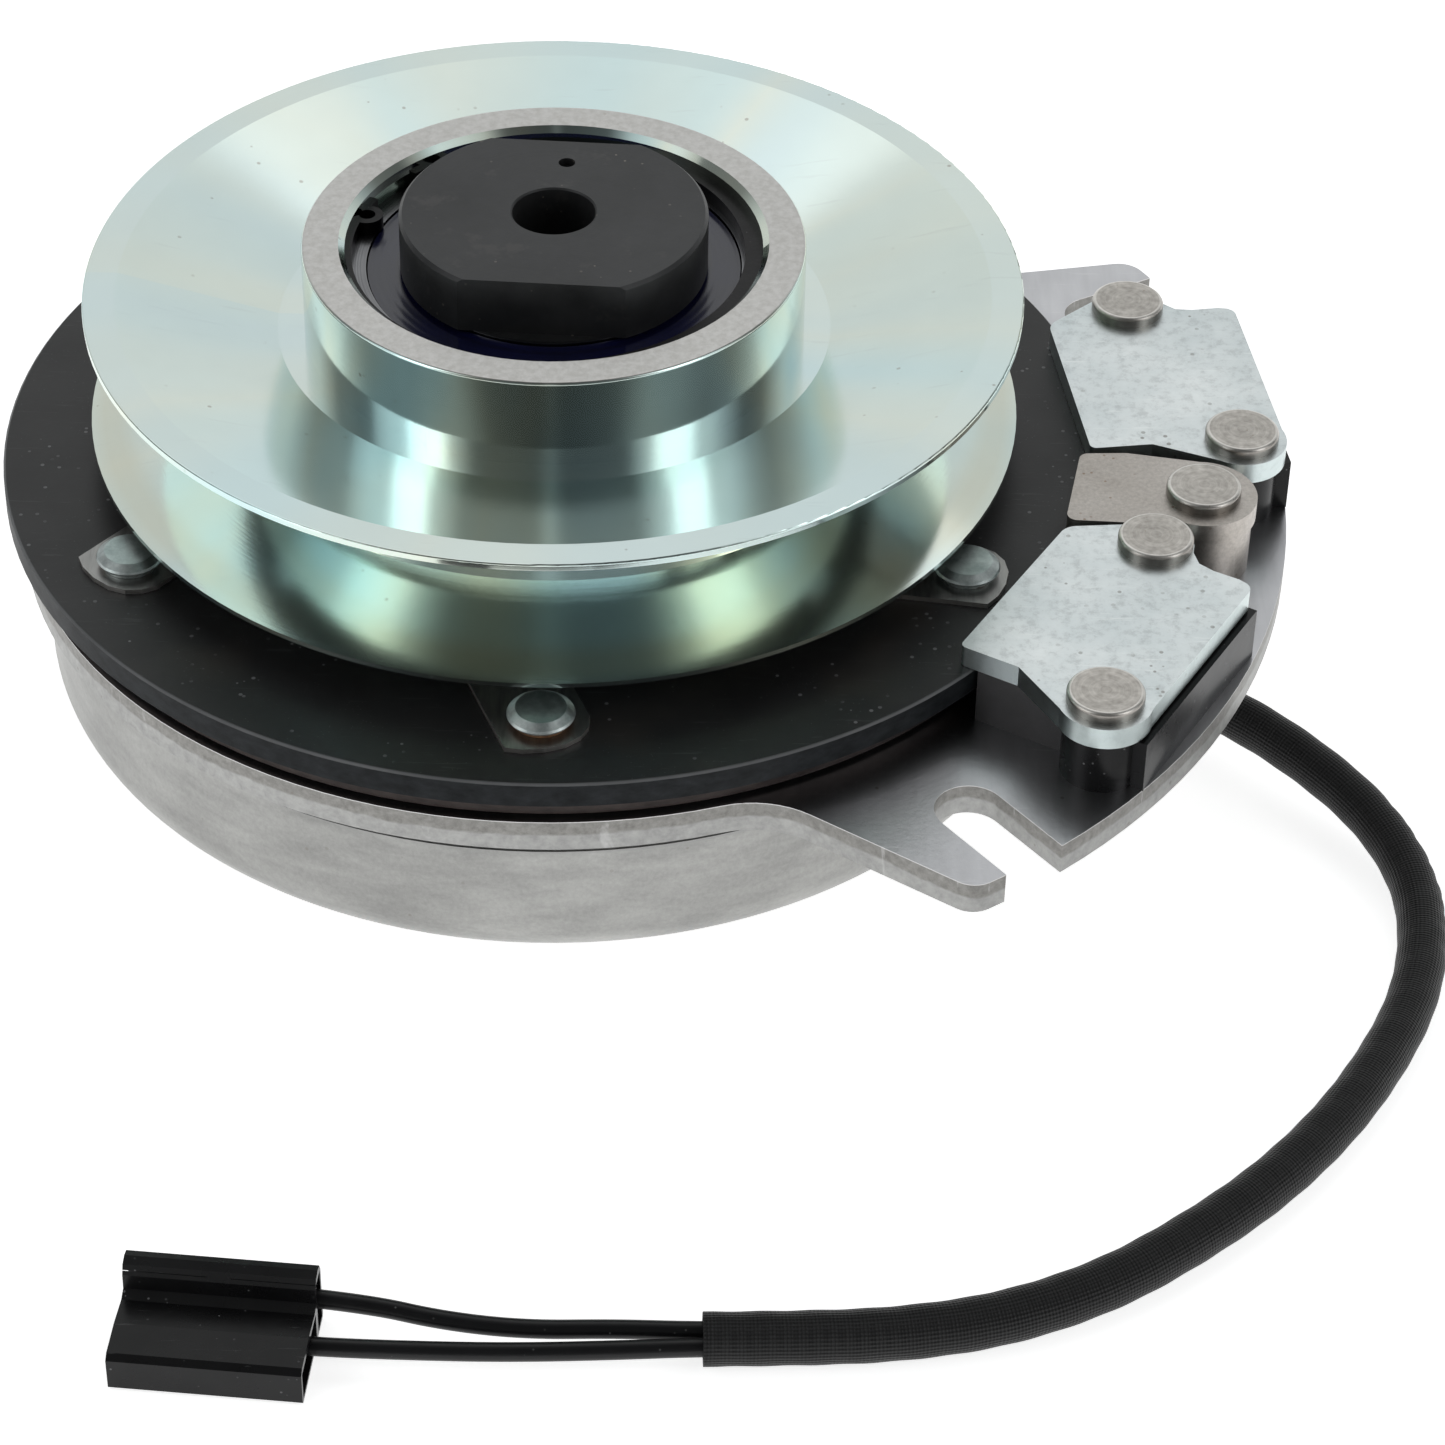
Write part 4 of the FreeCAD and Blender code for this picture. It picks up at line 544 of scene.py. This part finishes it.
def seal_blue(name):
    """Bearing seal: dark blue moulded nitrile with fine rings."""
    m = Shader(name)
    colour = m.ramp(m.noise(90.0, 3.0),
                    [(0.3, (0.004, 0.005, 0.026)), (0.7, (0.007, 0.008, 0.048))])
    out = m.radius()
    lip = m.between(out, *SEAL_LIP, 0.0003)
    colour = m.blend(m.math("MULTIPLY", lip, 0.6), colour, (0.004, 0.004, 0.018))
    ripple = m.math("SINE", m.math("MULTIPLY", out, 5200.0))
    m.set(Base_Color=colour, Roughness=0.24, Coat_Weight=0.4, Coat_Roughness=0.12,
          Normal=m.bump(ripple, 0.00004, 0.3))
    return m.material


def bearing_steel(name):
    """Ground bearing rings and balls, filmed with oil."""
    m = Shader(name)
    rings = turned_marks(m, 4200.0)
    colour = m.ramp(rings, [(0.3, (0.16, 0.16, 0.17)), (0.7, (0.30, 0.30, 0.31))])
    oil = m.ramp(m.noise(110.0, 3.0), [(0.35, 0.75), (0.65, 1.0)])
    m.set(Base_Color=m.blend(0.7, colour, oil, "MULTIPLY"), Metallic=1.0,
          Roughness=m.math("ADD", m.math("MULTIPLY", rings, 0.12), 0.18),
          Normal=m.bump(rings, 0.00002, 0.4))
    return m.material


def rotor_iron(name):
    """Rotor disc: dark brown-black rim, fine turned rings."""
    m = Shader(name)
    around = m.join(m.math("MULTIPLY", m.azimuth(), 0.03), m.height(), 0.0)
    streak = m.noise(700.0, 4.0, 0.6, around)
    colour = m.ramp(streak, [(0.3, (0.020, 0.014, 0.013)), (0.7, (0.055, 0.042, 0.038))])
    rust = m.above(m.noise(60.0, 4.0, 0.65), 0.62, 0.08)
    colour = m.blend(m.math("MULTIPLY", rust, 0.4), colour, (0.085, 0.045, 0.03))
    m.set(Base_Color=colour, Metallic=0.5, Normal=m.bump(streak, 0.00006, 0.4),
          Roughness=m.math("ADD", m.math("MULTIPLY", m.noise(200.0, 3.0), 0.2), 0.40))
    return m.material


def inner_material(name, low, high, metallic, rough, scale):
    """Parts seen only when the clutch is opened: mottled colour, grain and relief."""
    m = Shader(name)
    colour = m.ramp(m.noise(scale, 4.0, 0.6), [(0.3, low), (0.7, high)])
    grain = m.noise(scale * 9.0, 3.0, 0.7)
    m.set(Base_Color=m.blend(0.5, colour, m.ramp(grain, [(0.3, 0.75), (0.7, 1.0)]), "MULTIPLY"),
          Metallic=metallic, Normal=m.bump(grain, 0.00006, 0.4),
          Roughness=m.math("ADD", m.math("MULTIPLY", grain, 0.15), rough))
    return m.material


def magnet_wire(name):
    """Coil winding: rows of enamelled copper, darker in the grooves between turns as painted
    shade.
    """
    m = Shader(name)
    rows = m.math("SINE", m.math("MULTIPLY", m.height(), 9000.0))
    layers = m.math("SINE", m.math("MULTIPLY", m.radius(), 9000.0))
    turns = m.math("MAXIMUM", rows, layers)
    # Darker in the grooves between turns: painted shade.
    colour = m.ramp(turns, [(0.1, (0.20, 0.05, 0.02)), (0.9, (0.62, 0.25, 0.11))])
    m.set(Base_Color=colour, Metallic=1.0, Roughness=0.3, Normal=m.bump(turns, 0.00015, 0.7))
    return m.material


def braided(name):
    """Varnished braid: crossing ribs round the tube, from its own coordinates."""
    m = Shader(name)
    x, y, _ = m.split(m.uv)
    turn = m.math("MULTIPLY", x, 2.0 * math.pi * 20.0)
    run = m.math("MULTIPLY", y, 2.0 * math.pi * 1.05)
    left = m.math("SINE", m.math("ADD", turn, run))
    right = m.math("SINE", m.math("SUBTRACT", turn, run))
    weave = m.math("ADD", m.math("MULTIPLY", m.math("MULTIPLY", left, right), 0.5), 0.5)
    rib = m.math("SINE", m.math("MULTIPLY", y, 2.0 * math.pi * 1.6))
    height = m.math("ADD", weave, m.math("MULTIPLY", rib, 0.12))
    patch = m.noise(60.0, 3.0)
    # Darker in the hollows of the weave: painted shade.
    colour = m.ramp(height, [(0.15, (0.002, 0.002, 0.002)), (0.9, (0.016, 0.016, 0.017))])
    worn = m.math("MULTIPLY", m.above(patch, 0.55, 0.12), m.above(height, 0.75, 0.2))
    colour = m.blend(m.math("MULTIPLY", worn, 0.35), colour, (0.07, 0.07, 0.07))
    m.set(Base_Color=colour, Roughness=m.math("ADD", m.math("MULTIPLY", patch, 0.2), 0.36),
          Specular_IOR_Level=0.26, Normal=m.bump(height, 0.00022, 0.7))
    return m.material


def white_ground(name):
    """White sheet, a little self-lit so that it stays white to its edge."""
    m = Shader(name)
    tone = m.ramp(m.noise(3.0, 2.0), [(0.3, 0.93), (0.7, 0.95)])
    m.set(Base_Color=tone, Roughness=0.9, Emission_Color=(1.0, 1.0, 1.0, 1.0),
          Emission_Strength=0.75)
    return m.material


def dress(material, *names):
    """Give CAD nodes a material."""
    for name in names:
        mesh = nodes[name].data
        mesh.materials.clear()
        mesh.materials.append(material)


def dress_all():
    dress(pressed_steel("shell_steel"), "field_shell")
    dress(flange_steel("flange_steel"), "mounting_flange")
    dress(zinc_turned("pulley_zinc"), "pulley")
    dress(armature_black("armature_black"), "armature_disc")
    dress(rotor_iron("rotor_iron"), "rotor_disc")
    dress(hub_black("hub_black"), "hub_end_cap", "rotor_hub")
    dress(spring_steel("spring_steel"), "leaf_spring")
    for index in range(1, 7):
        node = "armature_rivet_%d" % index
        dress(zinc_rivet("rivet_zinc_%d" % index, node, 1.0 if index == 1 else 0.25), node)
    dress(zinc_sheet("plate_zinc_front", 0.3), "brake_plate_front")
    dress(zinc_sheet("plate_zinc_rear", 1.2), "brake_plate_rear")
    for node in ("brake_pin_front_a", "brake_pin_front_b", "brake_pin_rear_a",
                 "brake_pin_rear_b", "stop_pin"):
        dress(turned_pin(node + "_steel", node), node)
    dress(brown_nickel("stop_nickel"), "stop_plate", "stop_spacer")
    dress(black_moulding("carrier_black"), "magnet_carrier_front", "magnet_carrier_rear")
    dress(black_moulding("connector_black", 0.22), "connector_housing")
    dress(plain_black("magnet_ceramic", (0.060, 0.058, 0.060), 0.30, scale=1400.0),
          "brake_magnet_front", "brake_magnet_rear")
    dress(plain_black("grommet_rubber", (0.014, 0.014, 0.014), 0.55), "lead_grommet")
    dress(plain_black("ring_steel", (0.016, 0.015, 0.016), 0.28, metallic=0.6),
          "pulley_retaining_ring", "field_retaining_ring")
    dress(seal_blue("seal_blue"), "pulley_seal_upper", "pulley_seal_lower",
          "field_seal_upper", "field_seal_lower")
    dress(bearing_steel("bearing_steel"), "pulley_bearing_outer_ring",
          "pulley_bearing_inner_ring", "field_bearing_outer_ring", "field_bearing_inner_ring",
          "pulley_bearing_balls", "field_bearing_balls")
    dress(inner_material("cage_brass", (0.48, 0.33, 0.12), (0.66, 0.48, 0.20), 1.0, 0.26, 90.0),
          "pulley_bearing_cage", "field_bearing_cage")
    dress(inner_material("friction_lining", (0.05, 0.035, 0.025), (0.14, 0.09, 0.06), 0.0, 0.8,
                         320.0), "friction_ring")
    dress(inner_material("pole_iron", (0.16, 0.16, 0.17), (0.30, 0.30, 0.30), 1.0, 0.32, 70.0),
          "field_inner_pole", "spring_rivets")
    dress(inner_material("bobbin_nylon", (0.46, 0.43, 0.34), (0.60, 0.56, 0.46), 0.0, 0.45,
                         60.0), "coil_bobbin")
    dress(inner_material("potting_epoxy", (0.008, 0.008, 0.009), (0.02, 0.02, 0.022), 0.0, 0.3,
                         40.0), "coil_potting")
    dress(inner_material("terminal_tin", (0.52, 0.51, 0.48), (0.68, 0.67, 0.64), 1.0, 0.3,
                         300.0), "connector_terminal_near", "connector_terminal_far")
    dress(magnet_wire("winding_copper"), "coil_winding")


# ---------------------------------------------------------------- lead and wires

LEAD_DIAMETER = 0.0072
LEAD_MOUTH_RADIUS = 0.00295
LEAD_MOUTH_DEPTH = 0.0108
WIRE_DIAMETER = 0.0026
LEAD_STEP = 0.0009
WIRE_STEP = 0.0012
FOLD_START = 0.056
FOLD_GAP = 0.0034
FOLD_WIDTH = 0.0008
FOLD_DEPTH = 0.00030
FOLDS = 9

LEAD_ROUTE = [
    (0.07821, -0.0195, 0.012),
    (0.092, -0.024, 0.0124),
    (0.104, -0.031, 0.0116),
    (0.115, -0.039, 0.009),
    (0.124, -0.048, 0.006),
    (0.129, -0.06, 0.004),
    (0.129, -0.073, 0.00365),
    (0.126, -0.086, 0.00365),
    (0.12, -0.099, 0.00365),
    (0.112, -0.112, 0.00365),
    (0.102, -0.124, 0.00365),
    (0.091, -0.134, 0.00365),
    (0.079, -0.143, 0.00365),
    (0.065, -0.1495, 0.00365),
    (0.051, -0.1525, 0.00365),
    (0.038, -0.1535, 0.00365),
    (0.0254, -0.154, 0.00365),
]
FAR_WIRE_ROUTE = [
    (0.0362, -0.15215, 0.00365),
    (0.0253, -0.1526, 0.00365),
    (0.014, -0.1523, 0.0035),
    (0.002, -0.153, 0.0037),
    (-0.009, -0.1523, 0.0044),
    (-0.019, -0.15035, 0.0053),
    (-0.0303, -0.1493, 0.0055),
]
NEAR_WIRE_ROUTE = [
    (0.0362, -0.155, 0.00365),
    (0.0253, -0.1554, 0.00365),
    (0.013, -0.1563, 0.0036),
    (0.0, -0.157, 0.0036),
    (-0.013, -0.157, 0.0036),
    (-0.0256, -0.1565, 0.0034),
    (-0.0326, -0.1559, 0.0034),
]


def route_curve(name, route):
    """A smooth open curve that has the route's points as its control points."""
    data = bpy.data.curves.new(name, "CURVE")
    data.dimensions = "3D"
    data.resolution_u = 24
    spline = data.splines.new("NURBS")
    spline.points.add(len(route) - 1)
    for point, place in zip(spline.points, route):
        point.co = (*place, 1.0)
    spline.order_u = 3
    spline.use_endpoint_u = True
    return data


def curve_points(name, route):
    """Points read along the smooth curve."""
    data = route_curve(name, route)
    holder = bpy.data.objects.new(name, data)
    scene.collection.objects.link(holder)
    mesh = bpy.data.meshes.new_from_object(holder)
    points = [vertex.co.copy() for vertex in mesh.vertices]
    bpy.data.objects.remove(holder)
    bpy.data.meshes.remove(mesh)
    if (points[0] - Vector(route[0])).length > (points[-1] - Vector(route[0])).length:
        points.reverse()
    return points


def even_points(points, step):
    """The same line with points every step."""
    result = [points[0]]
    left = step
    for a, b in zip(points, points[1:]):
        gap = (b - a).length
        while gap > 1e-9 and left <= gap:
            a = a.lerp(b, left / gap)
            gap = (b - a).length
            result.append(a)
            left = step
        left -= gap
    if (result[-1] - points[-1]).length < step * 0.5:
        result.pop()
    result.append(points[-1])
    return result


def side_frames(points):
    """Directions sideways and up at each point, without twist."""
    frames = []
    up = Vector((0.0, 0.0, 1.0))
    for index in range(len(points)):
        before = points[max(0, index - 1)]
        after = points[min(len(points) - 1, index + 1)]
        along = (after - before).normalized()
        up = (up - along * up.dot(along)).normalized()
        frames.append((along.cross(up), up))
    return frames


def tube_mesh(name, points, sides, radius_at, inner=0.0, mouth=0.0):
    """A tube along points.  With an inner radius its far end is open, as deep as mouth."""
    frames = side_frames(points)
    vertices = []
    faces = []
    coordinates = []
    travelled = [0.0]
    for a, b in zip(points, points[1:]):
        travelled.append(travelled[-1] + (b - a).length)

    def add_ring(index, radius):
        side, up = frames[index]
        start = len(vertices)
        for k in range(sides):
            angle = 2.0 * math.pi * k / sides
            out = side * math.cos(angle) + up * math.sin(angle)
            size = radius(angle, travelled[index]) if callable(radius) else radius
            vertices.append(points[index] + out * size)
        return start

    def join_rings(a, b, v_a, v_b):
        for k in range(sides):
            nxt = (k + 1) % sides
            faces.append((a + k, a + nxt, b + nxt, b + k))
            coordinates.extend([(k / sides, v_a), ((k + 1) / sides, v_a),
                                ((k + 1) / sides, v_b), (k / sides, v_b)])

    rings = [add_ring(index, radius_at) for index in range(len(points))]
    for index in range(len(rings) - 1):
        join_rings(rings[index], rings[index + 1],
                   travelled[index] * 1000, travelled[index + 1] * 1000)
    end = travelled[-1] * 1000
    ring = rings[-1]
    if inner:
        index = len(points) - 1
        lip = add_ring(index, inner)
        join_rings(ring, lip, end, end + 0.6)
        ring = lip
        while index > 0 and travelled[-1] - travelled[index - 1] < mouth:
            index -= 1
            deeper = add_ring(index, inner)
            join_rings(ring, deeper, end + 1, end + 2)
            ring = deeper
    faces.append(tuple(ring + k for k in range(sides)))
    coordinates.extend([(0.5, end)] * sides)
    faces.append(tuple(rings[0] + k for k in reversed(range(sides))))
    coordinates.extend([(0.5, 0.0)] * sides)
    mesh = bpy.data.meshes.new(name)
    mesh.from_pydata([tuple(v) for v in vertices], [], faces)
    layer = mesh.uv_layers.new(name="UVMap")
    for loop, uv in zip(layer.data, coordinates):
        loop.uv = uv
    for polygon in mesh.polygons:
        polygon.use_smooth = True
    mesh.validate()
    thing = bpy.data.objects.new(name, mesh)
    scene.collection.objects.link(thing)
    return thing


def make_cords():
    """The braided lead and its two wires, in place of the plain CAD tubes."""
    route = curve_points("lead_route", LEAD_ROUTE)
    points = even_points(route, LEAD_STEP)
    rng = random.Random(4)
    folds = [(FOLD_START + FOLD_GAP * k + rng.uniform(-0.0006, 0.0006), rng.uniform(0.5, 1.0))
             for k in range(FOLDS)]

    def lead_radius(angle, distance):
        """Pinched into small folds on the inside of the tight bend."""
        inside = max(0.0, math.cos(angle - math.pi)) ** 2
        fold = 0.0
        for centre, size in folds:
            fold += size * math.exp(-((distance - centre) / FOLD_WIDTH) ** 2)
        ripple = 0.00004 * math.sin(distance * 900.0 + 2.0 * angle)
        return LEAD_DIAMETER / 2 - FOLD_DEPTH * inside * fold + ripple

    lead = tube_mesh("lead_sleeve_braid", points, 40, lead_radius, LEAD_MOUTH_RADIUS,
                     LEAD_MOUTH_DEPTH)
    lead.data.materials.append(braided("sleeve_braid"))
    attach(lead, "field")
    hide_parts("lead_sleeve")
    insulation = plain_black("wire_insulation", (0.009, 0.009, 0.010), 0.24)
    for side, wire_route in (("far", FAR_WIRE_ROUTE), ("near", NEAR_WIRE_ROUTE)):
        line = curve_points("wire_route_" + side, wire_route)
        spaced = even_points(line, WIRE_STEP)
        wire = tube_mesh("wire_" + side, spaced, 20, WIRE_DIAMETER / 2)
        wire.data.materials.append(insulation)
        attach(wire, "field")
        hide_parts("lead_wire_" + side)


make_cords()
dress_all()


# ---------------------------------------------------------------- ground and light

GROUND_HALF = 3.0
GROUND_HEIGHT = -0.0002


def make_ground():
    """A plain square floor just under the shell."""
    corners = [(-1, -1), (1, -1), (1, 1), (-1, 1)]
    mesh = bpy.data.meshes.new("ground")
    mesh.from_pydata([(GROUND_HALF * x, GROUND_HALF * y, 0) for x, y in corners], [],
                     [(0, 1, 2, 3)])
    ground = bpy.data.objects.new("ground", mesh)
    ground.location = (0.0, 0.0, GROUND_HEIGHT)
    scene.collection.objects.link(ground)
    mesh.materials.append(white_ground("ground_white"))


def make_world():
    """A light tent in three heights, skirt, walls and roof, each with grey levels at turns
    round it.  The camera looks from 0.25, where a narrow pale gap parts the widest dark band."""
    world = bpy.data.worlds.new("tent")
    scene.world = world
    world.use_nodes = True
    tree = world.node_tree
    back = tree.nodes["Background"]
    coords = tree.nodes.new("ShaderNodeTexCoord")
    parts = tree.nodes.new("ShaderNodeSeparateXYZ")
    tree.links.new(coords.outputs["Generated"], parts.inputs[0])
    angle = tree.nodes.new("ShaderNodeMath")
    angle.operation = "ARCTAN2"
    tree.links.new(parts.outputs[1], angle.inputs[0])
    tree.links.new(parts.outputs[0], angle.inputs[1])
    turn = tree.nodes.new("ShaderNodeMath")
    turn.operation = "MULTIPLY_ADD"
    tree.links.new(angle.outputs[0], turn.inputs[0])
    turn.inputs[1].default_value = 1.0 / (2.0 * math.pi)
    turn.inputs[2].default_value = 0.5

    def banded(bands):
        ramp = tree.nodes.new("ShaderNodeValToRGB")
        tree.links.new(turn.outputs[0], ramp.inputs["Fac"])
        set_stops(ramp.color_ramp, [(place, (grey * 0.98, grey, grey)) for place, grey in bands])
        return ramp.outputs["Color"]

    skirt = banded([
        (0.00, 0.60), (0.03, 1.0), (0.11, 1.0), (0.15, 0.30), (0.235, 0.28), (0.25, 0.60),
        (0.265, 0.28), (0.35, 0.30), (0.385, 1.0), (0.465, 0.95), (0.50, 0.45), (0.53, 0.30),
        (0.62, 0.8), (0.75, 0.95), (0.87, 0.8), (0.93, 0.40)])
    walls = banded([
        (0.00, 0.55), (0.03, 1.0), (0.11, 1.0), (0.15, 0.13), (0.236, 0.10), (0.25, 0.26),
        (0.264, 0.10), (0.35, 0.13), (0.385, 1.0), (0.465, 0.95), (0.495, 0.45), (0.525, 0.12),
        (0.565, 0.18), (0.62, 0.75), (0.75, 0.95), (0.87, 0.8), (0.925, 0.25), (0.97, 0.20)])
    roof = banded([
        (0.00, 0.20), (0.08, 0.30), (0.13, 0.09), (0.238, 0.05), (0.25, 0.14), (0.262, 0.05),
        (0.37, 0.09), (0.42, 0.30), (0.5, 0.18), (0.62, 0.34), (0.75, 0.36), (0.88, 0.34)])

    def layered(below, above, low, high):
        """One set of bands fading into the next between two heights."""
        rise = tree.nodes.new("ShaderNodeMapRange")
        tree.links.new(parts.outputs[2], rise.inputs["Value"])
        rise.inputs["From Min"].default_value = low
        rise.inputs["From Max"].default_value = high
        mix = tree.nodes.new("ShaderNodeMix")
        mix.data_type = "RGBA"
        tree.links.new(rise.outputs["Result"], mix.inputs["Factor"])
        for source, socket in zip((below, above), colour_sockets(mix.inputs)):
            tree.links.new(source, socket)
        return colour_sockets(mix.outputs)[0]

    tent = layered(layered(skirt, walls, 0.15, 0.40), roof, 0.72, 0.90)
    tree.links.new(tent, back.inputs["Color"])
    back.inputs["Strength"].default_value = 0.9


def softbox(name, place, aim, size, power):
    data = bpy.data.lights.new(name, "AREA")
    data.shape = "RECTANGLE"
    data.size, data.size_y = size
    data.energy = power
    light = bpy.data.objects.new(name, data)
    light.location = place
    direction = Vector(aim) - Vector(place)
    light.rotation_euler = direction.to_track_quat("-Z", "Y").to_euler()
    scene.collection.objects.link(light)


def make_lights():
    softbox("roof", (0.0, 0.55, 1.1), (0.0, 0.0, 0.03), (1.2, 0.6), 1.2)
    softbox("left", (-0.80, -0.50, 0.45), (0.0, 0.0, 0.04), (0.30, 0.7), 0.8)
    softbox("right", (0.80, -0.50, 0.45), (0.0, 0.0, 0.04), (0.30, 0.7), 0.8)


make_ground()
make_world()
make_lights()
